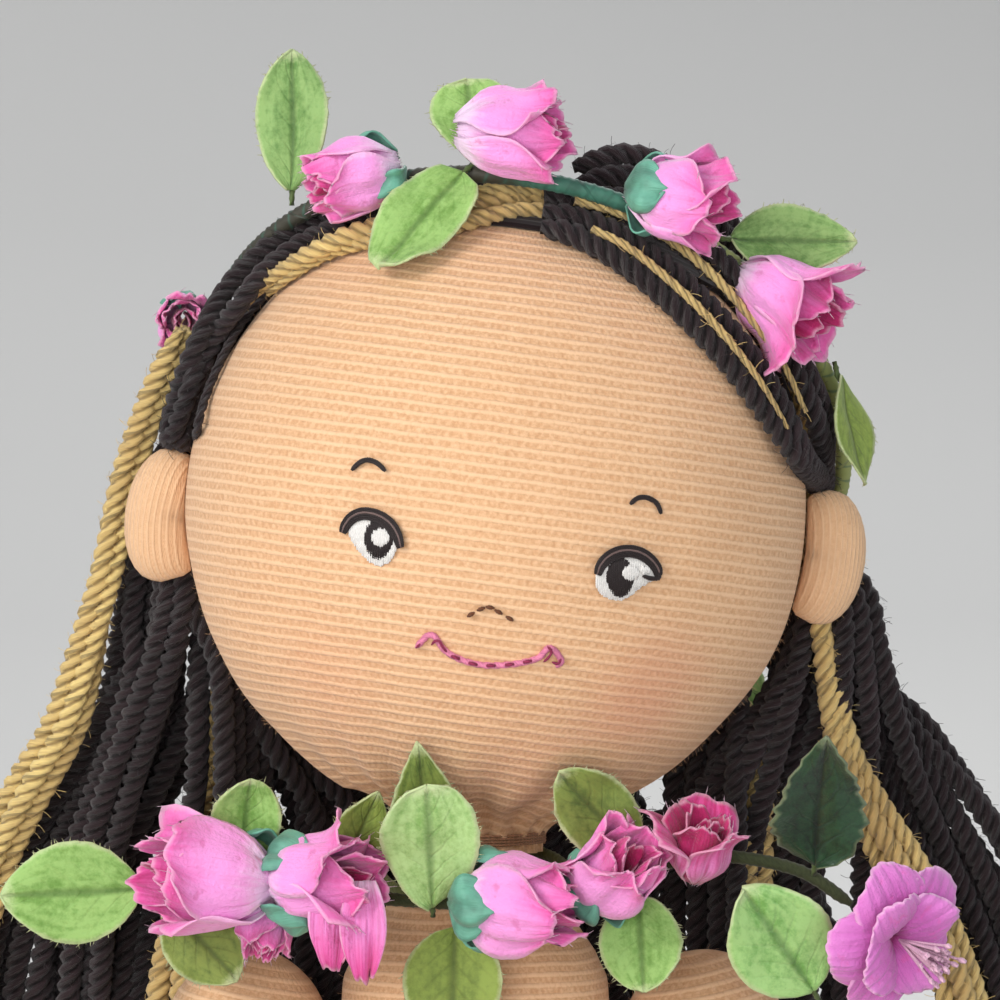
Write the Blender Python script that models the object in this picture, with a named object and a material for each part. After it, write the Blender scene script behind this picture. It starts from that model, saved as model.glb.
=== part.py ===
"""A sitting waldorf doll: a stuffed knit body with yarn hair, a flower crown and a flower garland.

The doll faces -Y and sits on its seat, whose flat underside is the origin. +Z is up and +X is the
doll's left. All lengths are in metres.
"""
import math

import bmesh
import bpy
from mathutils import Matrix, Vector
from mathutils.bvhtree import BVHTree

MM = 0.001
UP = Vector((0, 0, 1))
FRONT = Vector((0, -1, 0))
RIGHT = Vector((1, 0, 0))

# Fits
SNUG_STEPS = 3
LINE_STEPS = 6
SKIN = 1.2 * MM
GAP = 0.3 * MM
CUT = 5 * MM
FLAT = 0.5 * MM

# Head and neck
HEAD_WIDTH = 90 * MM
HEAD_DEPTH = 84 * MM
HEAD_HEIGHT = 90 * MM
HEAD_SHIFT = 3 * MM
HEAD_ROLL = math.radians(8)
NECK_RADIUS = 8.2 * MM
NECK_SHOWS = 3 * MM
NECK_TAIL = 16 * MM
NECK_TIE_RADIUS = 0.5 * MM
EAR_HEIGHT = 19 * MM
EAR_REACH = 8.8 * MM
EAR_THICK = 6.5 * MM

# Torso
TORSO_HEIGHT = 98 * MM
TORSO_WIDTH = 60 * MM
TORSO_DEPTH = 42 * MM
CHEST_WIDTH = 39.6 * MM

# Arms
SHOULDER_HALF = 20.5 * MM
SHOULDER_DROP = 21 * MM
ARM_OUT = 12.8 * MM
ARM_DOWN = 7 * MM
ARM_LENGTH = 66 * MM
ARM_RADIUS = 12.6 * MM
ARM_LEAN = math.radians(11)
THUMB_RADIUS = 3.1 * MM
THUMB_LENGTH = 11 * MM

# Legs
HIP_RADIUS = 14 * MM
HIP_HALF = 15.0 * MM
HIP_FORWARD = 17 * MM
LEG_LENGTH = 108 * MM
LEG_RAISE = math.radians(25)
FOOT_LENGTH = 35 * MM
FOOT_HALF = 9.6 * MM

# Hair
HAIR_THICK = 4.2 * MM
HAIRLINE_BACK = 2.5 * MM
HAIRLINE_LEAN = math.radians(15)
NAPE_DROP = 8 * MM
NAPE_LEAN = math.radians(20)
FRINGE_THICK = 4.4 * MM
FRINGE_WIDTH = 19 * MM
DARK_WIDTH = 14.5 * MM
DARK_THICK = 6.4 * MM
GOLD_WIDTH = 8.5 * MM
GOLD_THICK = 5.4 * MM

# Crown
BAND_RADIUS = 1.3 * MM
CROWN_RISE = 13.4 * MM
CROWN_BACK = 13.4 * MM
CROWN_LEAN = math.radians(45)
CROWN_ROLL = math.radians(8)

# Flowers and leaves
ROSE_LENGTH = 15 * MM
ROSE_RADIUS = 6.0 * MM
LEAF_LENGTH = 17 * MM
LEAF_WIDTH = 11.5 * MM
LEAF_THICK = 0.8 * MM
STALK_RADIUS = 0.6 * MM
STALK_LENGTH = 2.4 * MM

# Garland
CORD_RADIUS = 0.9 * MM
CORD_LOOP = 13.4 * MM
STEM_RADIUS = 1.2 * MM

NECK_AT = Vector((0, 0, TORSO_HEIGHT))
HEAD_AT = Vector((HEAD_SHIFT, 0, TORSO_HEIGHT + NECK_SHOWS + HEAD_HEIGHT / 2))
HEAD_HALF = (HEAD_WIDTH / 2, HEAD_DEPTH / 2, HEAD_HEIGHT / 2)
HEAD_TURN = Matrix.Rotation(HEAD_ROLL, 3, "Y")
HEAD_PLACE = Matrix.Translation(HEAD_AT) @ HEAD_TURN.to_4x4()
CROWN_TURN = Matrix.Rotation(CROWN_ROLL, 3, "Y")


# Finishes


def material(name, colour, roughness):
    """A Principled finish in linear colour."""
    made = bpy.data.materials.new(name)
    made.use_nodes = True
    shader = made.node_tree.nodes["Principled BSDF"]
    shader.inputs["Base Color"].default_value = (*colour, 1)
    shader.inputs["Roughness"].default_value = roughness
    made.diffuse_color = (*colour, 1)
    return made


def build_materials():
    return {
        "knit": material("knit", (0.62, 0.36, 0.20), 0.90),
        "wool": material("wool", (0.80, 0.74, 0.62), 1.00),
        "thread": material("thread", (0.45, 0.25, 0.15), 0.80),
        "dark": material("dark_yarn", (0.035, 0.022, 0.025), 0.95),
        "gold": material("gold_yarn", (0.50, 0.30, 0.08), 0.95),
        "pink": material("petal_pink", (0.80, 0.30, 0.45), 0.80),
        "magenta": material("petal_magenta", (0.60, 0.05, 0.25), 0.80),
        "leaf": material("leaf_green", (0.16, 0.36, 0.10), 0.80),
        "olive": material("leaf_olive", (0.22, 0.30, 0.08), 0.80),
        "gloss": material("leaf_gloss", (0.25, 0.42, 0.12), 0.40),
        "band": material("band_green", (0.10, 0.30, 0.28), 0.60),
        "cord": material("garland_cord", (0.30, 0.34, 0.16), 0.80),
    }


# Working with meshes


def new_object(name, bm, finish):
    """Turns a bmesh into a smooth shaded object."""
    bmesh.ops.recalc_face_normals(bm, faces=bm.faces)
    mesh = bpy.data.meshes.new(name)
    bm.to_mesh(mesh)
    bm.free()
    mesh.shade_smooth()
    if finish:
        mesh.materials.append(finish)
    made = bpy.data.objects.new(name, mesh)
    bpy.context.scene.collection.objects.link(made)
    return made


def settle(obj):
    """Works the modifiers of an object into its mesh."""
    bpy.context.view_layer.update()
    graph = bpy.context.evaluated_depsgraph_get()
    obj.data = bpy.data.meshes.new_from_object(obj.evaluated_get(graph))
    obj.modifiers.clear()
    return obj


def boolean(base, tool, operation):
    """Joins tool to base, or cuts it out, and drops the tool."""
    step = base.modifiers.new(operation.lower(), "BOOLEAN")
    step.operation = operation
    step.solver = "EXACT"
    step.object = tool
    settle(base)
    bpy.data.objects.remove(tool)
    return base


def thicken(obj, thickness):
    """Gives an open sheet a wall, half on either side."""
    step = obj.modifiers.new("wall", "SOLIDIFY")
    step.thickness = thickness
    step.offset = 0
    return settle(obj)


def place(obj, matrix):
    obj.data.transform(matrix)
    return obj


def facing(origin, axis, front):
    """The matrix that turns local +Z to axis and local -Y as near as it can be to front."""
    z = axis.normalized()
    x = front.cross(z).normalized() * -1
    y = z.cross(x)
    turn = Matrix((x, y, z)).transposed().to_4x4()
    return Matrix.Translation(origin) @ turn


def oval(centre, half_width, half_depth, count, across=RIGHT, along=FRONT, power=2.0):
    """A ring of points, squarer than an ellipse when power is over 2."""
    ring = []
    for i in range(count):
        angle = math.tau * i / count
        c, s = math.cos(angle), math.sin(angle)
        x = math.copysign(abs(c) ** (2 / power), c) * half_width
        y = math.copysign(abs(s) ** (2 / power), s) * half_depth
        ring.append(centre + across * x + along * y)
    return ring


def loft(name, rings, finish=None, poles=(None, None)):
    """Skins closed rings of points. A pole closes an end with a fan, and None with one flat face."""
    bm = bmesh.new()
    loops = [[bm.verts.new(point) for point in ring] for ring in rings]
    count = len(rings[0])
    for first, second in zip(loops, loops[1:]):
        for i in range(count):
            j = (i + 1) % count
            bm.faces.new((first[i], first[j], second[j], second[i]))
    for loop, pole in zip((loops[0], loops[-1]), poles):
        if pole is None:
            bm.faces.new(loop)
            continue
        tip = bm.verts.new(pole)
        for i in range(count):
            bm.faces.new((loop[i], loop[(i + 1) % count], tip))
    return new_object(name, bm, finish)


def block(name, low, high):
    """An upright box between two corners."""
    bm = bmesh.new()
    bmesh.ops.create_cube(bm, size=1)
    bmesh.ops.scale(bm, verts=bm.verts, vec=high - low)
    bmesh.ops.translate(bm, verts=bm.verts, vec=(low + high) / 2)
    return new_object(name, bm, None)


def upright(name, levels, count, finish=None, centre=Vector()):
    """A round bar on a vertical axis from (height, radius) levels."""
    rings = [oval(Vector((centre.x, centre.y, z)), radius, radius, count) for z, radius in levels]
    return loft(name, rings, finish)


def smooth_path(points, steps):
    """Points read evenly in parameter from a Catmull-Rom curve through the given points."""
    knots = [2 * points[0] - points[1], *points, 2 * points[-1] - points[-2]]
    spans = len(points) - 1
    path = []
    for i in range(steps + 1):
        t = spans * i / steps
        k = min(int(t), spans - 1)
        u = t - k
        a, b, c, d = knots[k : k + 4]
        slope = (c - a) / 2
        bend = a - b * 2.5 + c * 2 - d / 2
        twist = (b * 3 - a - c * 3 + d) / 2
        path.append(b + slope * u + bend * (u * u) + twist * u**3)
    return path


def blended(values, share):
    """A value read at a share of the way along a list."""
    at = share * (len(values) - 1)
    k = min(int(at), len(values) - 2)
    return values[k] + (values[k + 1] - values[k]) * (at - k)


def tangent(path, i, closed=False):
    if closed:
        return (path[(i + 1) % len(path)] - path[i - 1]).normalized()
    return (path[min(i + 1, len(path) - 1)] - path[max(i - 1, 0)]).normalized()


def sweep(name, path, widths, thicks, outward, count, finish=None, grow=0):
    """A tube with an oval section along a path. outward(point) is where its flat side faces."""
    rings = []
    for i, point in enumerate(path):
        ahead = tangent(path, i)
        point = point + ahead * grow * ((i == len(path) - 1) - (i == 0))
        out = outward(point)
        out = (out - ahead * out.dot(ahead)).normalized()
        share = i / (len(path) - 1)
        half_width = blended(widths, share) / 2 + grow
        half_thick = blended(thicks, share) / 2 + grow
        rings.append(oval(point, half_width, half_thick, count, ahead.cross(out), out))
    return loft(name, rings, finish)


def fine_line(path):
    """Points close together along a line of straight stretches."""
    share = [i / LINE_STEPS for i in range(LINE_STEPS)]
    return [a + (b - a) * s for a, b in zip(path, path[1:]) for s in share]


def ring_bar(name, path, radius, sides, finish):
    """A closed round bar along a closed path."""
    bm = bmesh.new()
    centre = sum(path, Vector()) / len(path)
    loops = []
    for i, point in enumerate(path):
        ahead = tangent(path, i, closed=True)
        out = point - centre
        out = (out - ahead * out.dot(ahead)).normalized()
        ring = oval(point, radius, radius, sides, ahead.cross(out), out)
        loops.append([bm.verts.new(p) for p in ring])
    for i, first in enumerate(loops):
        second = loops[(i + 1) % len(loops)]
        for j in range(sides):
            k = (j + 1) % sides
            bm.faces.new((first[j], first[k], second[k], second[j]))
    return new_object(name, bm, finish)


def snug(obj, line, reach):
    """Moves a piece straight up to a line until it lies reach from it."""
    for _ in range(SNUG_STEPS):
        faces = [face.vertices for face in obj.data.polygons]
        tree = BVHTree.FromPolygons([v.co for v in obj.data.vertices], faces)
        point, hit = min(((p, tree.find_nearest(p)) for p in line), key=lambda pair: pair[1][3])
        place(obj, Matrix.Translation((point - hit[0]).normalized() * (hit[3] - reach)))
    return obj


# Torso

# Height, half width, half depth and middle of each level below the waist, as shares of its own sizes
TORSO_SHARES = (
    (0.000, 0.72, 0.60, 0.22),
    (0.025, 0.86, 0.76, 0.18),
    (0.090, 0.97, 0.92, 0.12),
    (0.200, 1.02, 0.99, 0.07),
    (0.320, 0.99, 0.99, 0.03),
    (0.450, 0.84, 0.92, 0.01),
    (0.580, 0.73, 0.83, 0.00),
)
# Height, half width and half depth of each level above it, and how much a wall there faces up
CHEST_SHARES = (
    (0.690, 1.00, 0.78, 0.0),
    (0.770, 1.01, 0.74, 0.1),
    (0.820, 0.98, 0.69, 0.5),
    (0.870, 0.84, 0.62, 0.9),
    (0.920, 0.68, 0.55, 0.9),
    (0.965, 0.56, 0.50, 0.9),
)
TORSO_SIDES = 22
NECK_HOLE = NECK_RADIUS + SKIN + GAP


def torso_form(name, inset, finish=None):
    """The stuffed torso, taken in by inset, with the lap cut away where the legs swing."""
    rings = []
    for height, wide, deep, middle in TORSO_SHARES:
        centre = Vector((0, middle * TORSO_DEPTH / 2, max(height * TORSO_HEIGHT, inset)))
        half_wide = wide * TORSO_WIDTH / 2 - inset
        half_deep = deep * TORSO_DEPTH / 2 - inset
        rings.append(oval(centre, half_wide, half_deep, TORSO_SIDES, power=2.3))
    for height, wide, deep, facing_up in CHEST_SHARES:
        centre = Vector((0, 0, height * TORSO_HEIGHT - facing_up * inset))
        half_wide = wide * CHEST_WIDTH / 2 - inset
        half_deep = deep * CHEST_WIDTH / 2 - inset
        rings.append(oval(centre, half_wide, half_deep, TORSO_SIDES, power=2.2))
    rim = NECK_HOLE + SKIN - inset
    rings.append(oval(NECK_AT - UP * inset, rim, rim, TORSO_SIDES))
    made = loft(name, rings, finish)
    return boolean(made, lap_cutter(inset), "DIFFERENCE")


def lap_cutter(inset):
    """The space that both legs sweep: round at the hips and open to the front and below."""
    radius = HIP_RADIUS + GAP + inset
    profile = []
    steps = 10
    for i in range(steps + 1):
        angle = (math.pi / 2 - LEG_RAISE) * i / steps
        profile.append((radius * math.cos(angle) - HIP_FORWARD, HIP_RADIUS - FLAT + radius * math.sin(angle)))
    y, z = profile[-1]
    profile.append((y - TORSO_DEPTH * math.cos(LEG_RAISE), z + TORSO_DEPTH * math.sin(LEG_RAISE)))
    profile.append((profile[-1][0], -CUT))
    profile.append((profile[0][0], -CUT))
    half = TORSO_WIDTH / 2 + CUT
    bm = bmesh.new()
    face = bm.faces.new([bm.verts.new((-half, y, z)) for y, z in profile])
    made = bmesh.ops.extrude_face_region(bm, geom=[face])
    moved = [v for v in made["geom"] if isinstance(v, bmesh.types.BMVert)]
    bmesh.ops.translate(bm, verts=moved, vec=(2 * half, 0, 0))
    return new_object("lap_cutter", bm, None)


def neck_bore(name, radius, depth):
    levels = ((TORSO_HEIGHT - depth, radius), (TORSO_HEIGHT + CUT, radius))
    return upright(name, levels, TORSO_SIDES)


def build_torso(finish):
    skin = torso_form("torso_skin", 0, finish["knit"])
    boolean(skin, torso_form("torso_hollow", SKIN), "DIFFERENCE")
    boolean(skin, neck_bore("skin_bore", NECK_HOLE, NECK_TAIL), "DIFFERENCE")
    stuffing = torso_form("torso_stuffing", SKIN + 2 * GAP, finish["wool"])
    boolean(stuffing, neck_bore("stuffing_bore", NECK_RADIUS + GAP, NECK_TAIL + GAP), "DIFFERENCE")


# Head

# How many sides and levels the meshes of the head's forms have
FINE_MESH = (28, 14)
CAP_MESH = (24, 12)
COARSE_MESH = (20, 10)
CORE_MESH = (18, 9)


def head_form(name, grow, count, rows, finish=None):
    """The stuffed head, let out by grow, in its own leaning frame."""
    a, b, c = (half + grow for half in HEAD_HALF)
    rings = []
    for row in range(1, rows):
        angle = math.pi * row / rows
        centre = UP * (-c * math.cos(angle))
        rings.append(oval(centre, a * math.sin(angle), b * math.sin(angle), count))
    made = loft(name, rings, finish, poles=(UP * -c, UP * c))
    return place(made, HEAD_PLACE)


def build_head(finish):
    skin = head_form("head_skin", 0, *FINE_MESH, finish["knit"])
    neck = NECK_RADIUS + SKIN
    collar = TORSO_HEIGHT + 2 * NECK_TIE_RADIUS + 2 * GAP
    levels = ((TORSO_HEIGHT - SKIN, neck), (collar, neck), (collar + CUT, neck + CUT))
    boolean(skin, upright("sleeve", levels, 20), "UNION")
    boolean(skin, head_form("head_hollow", -SKIN, *COARSE_MESH), "DIFFERENCE")
    levels = ((TORSO_HEIGHT - CUT, NECK_RADIUS), (collar + 2 * CUT, NECK_RADIUS))
    boolean(skin, upright("sleeve_bore", levels, 20), "DIFFERENCE")
    core = head_form("head_core", -SKIN - 4 * GAP, *CORE_MESH, finish["wool"])
    levels = ((TORSO_HEIGHT - NECK_TAIL, NECK_RADIUS - GAP), (collar + 3 * CUT, NECK_RADIUS - GAP))
    boolean(core, upright("neck_tail", levels, 20), "UNION")
    reach = neck + GAP + NECK_TIE_RADIUS
    path = oval(NECK_AT + UP * (GAP + NECK_TIE_RADIUS), reach, reach, 18)
    ring_bar("neck_tie", path, NECK_TIE_RADIUS, 6, finish["thread"])


# Reach from the head, height and thickness of each section of an ear
EAR_SHARES = ((0.0, 0.86, 0.62), (0.30, 1.00, 0.95), (0.62, 0.92, 1.0), (0.88, 0.58, 0.74))
EAR_RISE_SHARES = {"ear_left": 0.0, "ear_right": -0.08}


def head_local(direction, lift):
    """A point lift outside the head's surface, in the head's own frame."""
    a, b, c = (half + lift for half in HEAD_HALF)
    d = Vector(direction).normalized()
    return d / math.sqrt((d.x / a) ** 2 + (d.y / b) ** 2 + (d.z / c) ** 2)


def ear_form(name, grow=0, finish=None):
    """A flat stuffed pad, sewn by its hollow edge to the side of the head."""
    out = RIGHT if name.startswith("ear_left") else -RIGHT
    middle = out * HEAD_HALF[0] + UP * (EAR_RISE_SHARES[name] * HEAD_HEIGHT)
    root = head_local(middle, GAP - grow)
    rings = []
    for reach, tall, thick in EAR_SHARES:
        centre = root + out * (reach * (EAR_REACH + 2 * grow))
        ring = oval(centre, tall * EAR_HEIGHT / 2 + grow, thick * EAR_THICK / 2 + grow, 14, UP)
        if reach == 0:
            ring = [head_local(point, GAP - grow) for point in ring]
        rings.append(ring)
    pad = loft(name, rings, finish, poles=(root, root + out * (EAR_REACH + 2 * grow)))
    return place(pad, HEAD_PLACE)


# Arms and legs

# Distance down the arm, width and depth of each section, from the shoulder to the fingertips
ARM_SHARES = (
    (-0.185, 0.26, 0.26),
    (-0.155, 0.58, 0.58),
    (-0.095, 0.85, 0.85),
    (0.000, 1.00, 1.00),
    (0.250, 0.98, 0.97),
    (0.500, 0.86, 0.86),
    (0.660, 0.72, 0.72),
    (0.720, 0.69, 0.66),
    (0.800, 0.74, 0.60),
    (0.900, 0.76, 0.52),
    (0.970, 0.54, 0.40),
)
ARM_END_SHARES = (-0.191, 1.0)
THUMB_SHARES = ((0.30, -0.45), (0.95, -0.10), (1.15, 0.35))
PALM_SHARE = 0.83
THUMB_REACH_SHARE = 0.6
THUMB_TAPER_SHARES = (1.4, 2.0, 1.9, 1.1)


def build_arm(name, side, knit):
    """A tapering stuffed arm with a mitten hand, round at the shoulder."""
    top = Vector((side * (SHOULDER_HALF + ARM_OUT), 0, TORSO_HEIGHT - SHOULDER_DROP - ARM_DOWN))
    down = Vector((side * math.sin(ARM_LEAN), 0, -math.cos(ARM_LEAN)))
    across = down.cross(FRONT)
    rings = []
    for share, wide, deep in ARM_SHARES:
        centre = top + down * (share * ARM_LENGTH)
        rings.append(oval(centre, wide * ARM_RADIUS, deep * ARM_RADIUS, 18, across))
    poles = [top + down * (share * ARM_LENGTH) for share in ARM_END_SHARES]
    arm = loft(name, rings, knit, poles=poles)
    palm = top + down * (PALM_SHARE * ARM_LENGTH)
    forward = FRONT * (ARM_RADIUS * THUMB_REACH_SHARE)
    knots = [palm + forward * ahead + down * (THUMB_LENGTH * along) for ahead, along in THUMB_SHARES]
    sizes = [THUMB_RADIUS * share for share in THUMB_TAPER_SHARES]
    thumb = sweep("thumb", smooth_path(knots, 4), sizes, sizes, lambda point: RIGHT, 8)
    return boolean(arm, thumb, "UNION")


# Distance along the leg and radius of each section, from the hip to the ankle
LEG_SHARES = ((0.0, 1.0), (0.22, 0.98), (0.5, 0.90), (0.75, 0.80), (0.90, 0.76), (0.95, 0.70), (0.985, 0.44))
# Height, width, depth and lean of each level of a foot
FOOT_SHARES = (
    (0.04, 0.58, 0.55, 0.00),
    (0.12, 0.85, 0.82, 0.00),
    (0.30, 1.00, 0.98, 0.02),
    (0.60, 1.00, 0.86, 0.10),
    (0.86, 0.82, 0.64, 0.16),
    (0.97, 0.50, 0.36, 0.18),
)


def build_leg(name, side, knit):
    """A stuffed leg lying forward, round at the hip, with the foot turned up."""
    hip = Vector((side * HIP_HALF, -HIP_FORWARD, HIP_RADIUS - FLAT))
    rings = []
    for i in range(1, 5):
        angle = math.pi / 2 * i / 5
        radius = HIP_RADIUS * math.sin(angle)
        rings.append(oval(hip - FRONT * (HIP_RADIUS * math.cos(angle)), radius, radius, 18, RIGHT, UP))
    ankle = HIP_RADIUS * LEG_SHARES[4][1]
    for share, size in LEG_SHARES:
        radius = HIP_RADIUS * size
        centre = hip + FRONT * (LEG_LENGTH * share)
        centre.z = max(radius, ankle) - FLAT
        rings.append(oval(centre, radius, radius, 18, RIGHT, UP))
    leg = loft(name, rings, knit, poles=(hip - FRONT * HIP_RADIUS, None))
    rings = []
    for height, wide, deep, lean in FOOT_SHARES:
        y = hip.y - LEG_LENGTH + FOOT_HALF * (1 - lean)
        centre = Vector((hip.x, y, height * FOOT_LENGTH - FLAT))
        rings.append(oval(centre, wide * FOOT_HALF, deep * FOOT_HALF, 16))
    boolean(leg, loft("foot", rings), "UNION")
    reach = LEG_LENGTH + HIP_RADIUS + CUT
    low = Vector((hip.x - HIP_RADIUS - CUT, hip.y - reach, -CUT))
    high = Vector((hip.x + HIP_RADIUS + CUT, hip.y + reach, 0))
    return boolean(leg, block("floor", low, high), "DIFFERENCE")


# Hair


def on_head(direction, lift):
    """The point that lies lift outside the head's surface in a direction of the head's own frame."""
    return HEAD_PLACE @ head_local(direction, lift)


def from_head(point):
    """The way straight out of the head at a point of the doll."""
    local = HEAD_PLACE.inverted() @ point
    return (HEAD_TURN @ Vector([local[i] / HEAD_HALF[i] ** 2 for i in range(3)])).normalized()


# Ways from the head's centre along the middle of the yarn on each side of the face
FRINGE_SHARES = {
    "fringe_left": (
        (0.12, -0.36, 1.0),
        (0.30, -0.36, 0.90),
        (0.56, -0.40, 0.73),
        (0.78, -0.36, 0.50),
        (0.93, -0.24, 0.30),
        (0.99, -0.08, 0.22),
    ),
    "fringe_right": (
        (-0.44, -0.27, 0.86),
        (-0.58, -0.22, 0.78),
        (-0.78, -0.18, 0.58),
        (-0.94, -0.10, 0.30),
        (-0.99, 0.0, 0.16),
    ),
    "fringe_gold": (
        (0.02, -0.36, 1.0),
        (-0.12, -0.35, 0.98),
        (-0.24, -0.33, 0.94),
        (-0.35, -0.30, 0.89),
    ),
}
FRINGE_WIDTH_SHARES = (0.28, 0.85, 1.0, 1.0, 0.9, 0.5)
FRINGE_SIZE_SHARES = {"fringe_left": 1.0, "fringe_right": 0.62, "fringe_gold": 0.34}


def fringe_form(name, grow=0, finish=None):
    path = [on_head(share, GAP + FRINGE_THICK / 2) for share in FRINGE_SHARES[name]]
    wide = FRINGE_WIDTH * FRINGE_SIZE_SHARES[name]
    widths = [wide * share for share in FRINGE_WIDTH_SHARES]
    made = sweep(name, smooth_path(path, 8), widths, [FRINGE_THICK] * 2, from_head, 10, finish, grow)
    if finish:
        for ear in EAR_RISE_SHARES:
            boolean(made, ear_form(ear, GAP), "DIFFERENCE")
    return made


def nape_edge():
    """A point of the slanting edge between the cap and the locks, and the way up from it."""
    return HEAD_AT - UP * NAPE_DROP, Matrix.Rotation(-NAPE_LEAN, 3, "X") @ UP


def nape_block(name, side):
    """All that lies over (side 1) or under (side -1) the slanting edge between the cap and the locks."""
    size = Vector((1, 1, 1)) * (2 * HEAD_WIDTH)
    middle = UP * (side * HEAD_WIDTH)
    slab = block(name, middle - size / 2, middle + size / 2)
    point, normal = nape_edge()
    edge = Matrix.Translation(point - normal * (side * GAP / 2))
    return place(slab, edge @ Matrix.Rotation(-NAPE_LEAN, 4, "X"))


def build_cap(yarn):
    """The hair over the top and back of the head, behind the hairline and above the nape."""
    cap = head_form("hair_cap", HAIR_THICK + GAP, *CAP_MESH, yarn)
    boolean(cap, head_form("cap_hollow", GAP, *FINE_MESH), "DIFFERENCE")
    face = block("face_cutter", Vector((-1, -1, -1)) * HEAD_WIDTH, Vector((1, 0, 1)) * HEAD_WIDTH)
    lean = Matrix.Translation(FRONT * -HAIRLINE_BACK) @ Matrix.Rotation(HAIRLINE_LEAN, 4, "X")
    boolean(cap, place(face, HEAD_PLACE @ lean), "DIFFERENCE")
    boolean(cap, nape_block("nape_cutter", -1), "DIFFERENCE")
    for name in FRINGE_SHARES:
        boolean(cap, fringe_form(name, GAP), "DIFFERENCE")
    for name in EAR_RISE_SHARES:
        boolean(cap, ear_form(name, GAP), "DIFFERENCE")
    return cap


# Each lock's yarn, its share of that yarn's width, the degrees round the head at which it leaves the
# cap's edge, and its fall from there, from the head's centre
LOCK_SHARES = {
    "lock_gold_right_1": ("gold", 1.0, None, (
        (-0.502, -0.010, 0.292), (-0.560, 0.025, 0.180), (-0.608, 0.080, 0.050), (-0.640, 0.100, -0.142),
        (-0.690, 0.130, -0.335), (-0.770, 0.165, -0.465), (-0.840, 0.190, -0.600), (-0.890, 0.200, -0.800),
        (-0.890, 0.210, -1.100))),
    "lock_gold_right_2": ("gold", 1.0, 148, (
        (-0.440, 0.240, -0.320), (-0.470, 0.215, -0.440), (-0.510, 0.190, -0.640), (-0.535, 0.185, -0.880),
        (-0.520, 0.185, -1.080))),
    "lock_dark_right_1": ("dark", 1.0, 165, (
        (-0.550, 0.175, -0.260), (-0.620, 0.250, -0.400), (-0.705, 0.290, -0.580), (-0.755, 0.310, -0.800),
        (-0.745, 0.310, -1.180))),
    "lock_dark_right_2": ("dark", 1.0, 132, (
        (-0.390, 0.350, -0.340), (-0.480, 0.345, -0.500), (-0.540, 0.320, -0.730), (-0.545, 0.305, -1.000),
        (-0.520, 0.300, -1.200))),
    "lock_dark_left_1": ("dark", 1.0, 27, (
        (0.545, 0.240, -0.270), (0.635, 0.275, -0.390), (0.735, 0.290, -0.530), (0.815, 0.290, -0.700),
        (0.855, 0.290, -0.920), (0.845, 0.290, -1.170))),
    "lock_gold_left_1": ("gold", 1.1, 12, (
        (0.535, 0.115, -0.260), (0.580, 0.125, -0.410), (0.660, 0.140, -0.570), (0.740, 0.155, -0.740),
        (0.790, 0.165, -0.920), (0.795, 0.170, -1.120))),
    "lock_gold_left_2": ("gold", 1.0, 42, (
        (0.415, 0.275, -0.330), (0.430, 0.245, -0.430), (0.415, 0.210, -0.580), (0.400, 0.190, -0.780),
        (0.420, 0.185, -1.060))),
    "lock_dark_left_2": ("dark", 1.0, 58, (
        (0.320, 0.375, -0.360), (0.400, 0.370, -0.520), (0.470, 0.345, -0.730), (0.500, 0.320, -1.000),
        (0.490, 0.315, -1.200))),
    "lock_back_1": ("dark", 1.05, 114, (
        (-0.235, 0.425, -0.400), (-0.275, 0.420, -0.580), (-0.300, 0.395, -0.850), (-0.280, 0.380, -1.230))),
    "lock_back_2": ("dark", 1.05, 94, (
        (-0.050, 0.470, -0.400), (-0.060, 0.455, -0.580), (-0.060, 0.415, -0.850), (-0.055, 0.400, -1.250))),
    "lock_back_3": ("dark", 1.05, 74, (
        (0.145, 0.455, -0.390), (0.165, 0.440, -0.580), (0.190, 0.400, -0.850), (0.185, 0.390, -1.230))),
}
LOCK_TAPER_SHARES = (0.76, 0.92, 1.0, 1.0, 0.95, 0.6)
LOCK_DEPTH_SHARES = (0.62, 0.90, 1.0, 1.0, 0.95, 0.6)
LOCK_TURN_SHARE = 0.4
ROOT_TURN = math.radians(7)
SEARCH_STEPS = 30


def rim_angle(turn):
    """How far below the level the cap's edge lies, at a turn round the head from its left side."""
    place_of_edge, normal = nape_edge()
    low, high = -math.pi / 2, math.pi / 2
    for _ in range(SEARCH_STEPS):
        middle = (low + high) / 2
        above = (on_head(way_out(turn, middle), GAP + HAIR_THICK / 2) - place_of_edge).dot(normal) > 0
        low, high = (low, middle) if above else (middle, high)
    return high


def way_out(turn, rise):
    return Vector((math.cos(turn) * math.cos(rise), math.sin(turn) * math.cos(rise), math.sin(rise)))


def lock_faces(point):
    """A lock lies flat on the head at its top and turns flat to the front as it falls."""
    away = point - HEAD_AT
    round_head = Vector((away.x, away.y, 0)).normalized()
    share = min(max(-away.z / (LOCK_TURN_SHARE * HEAD_WIDTH), 0), 1)
    return round_head * (1 - share) - FRONT * share


def build_lock(name, finish):
    """A hanging lock that starts under the cap's rim and falls past the shoulders."""
    yarn, size, degrees, shares = LOCK_SHARES[name]
    wide, thick = (GOLD_WIDTH, GOLD_THICK) if yarn == "gold" else (DARK_WIDTH, DARK_THICK)
    path = [HEAD_AT + Vector(share) * HEAD_WIDTH for share in shares]
    if degrees is not None:
        turn = math.radians(degrees)
        rim = rim_angle(turn)
        roots = [on_head(way_out(turn, rim + step), 2 * GAP + HAIR_THICK / 2) for step in (ROOT_TURN, 0)]
        path = roots + path
    widths = [wide * size * share for share in LOCK_TAPER_SHARES]
    thicks = [thick * share for share in LOCK_DEPTH_SHARES]
    lock = sweep(name, smooth_path(path, 10), widths, thicks, lock_faces, 8, finish[yarn])
    if degrees is not None:
        boolean(lock, nape_block("lock_cutter", 1), "DIFFERENCE")
    return lock


# Flowers and leaves

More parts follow.
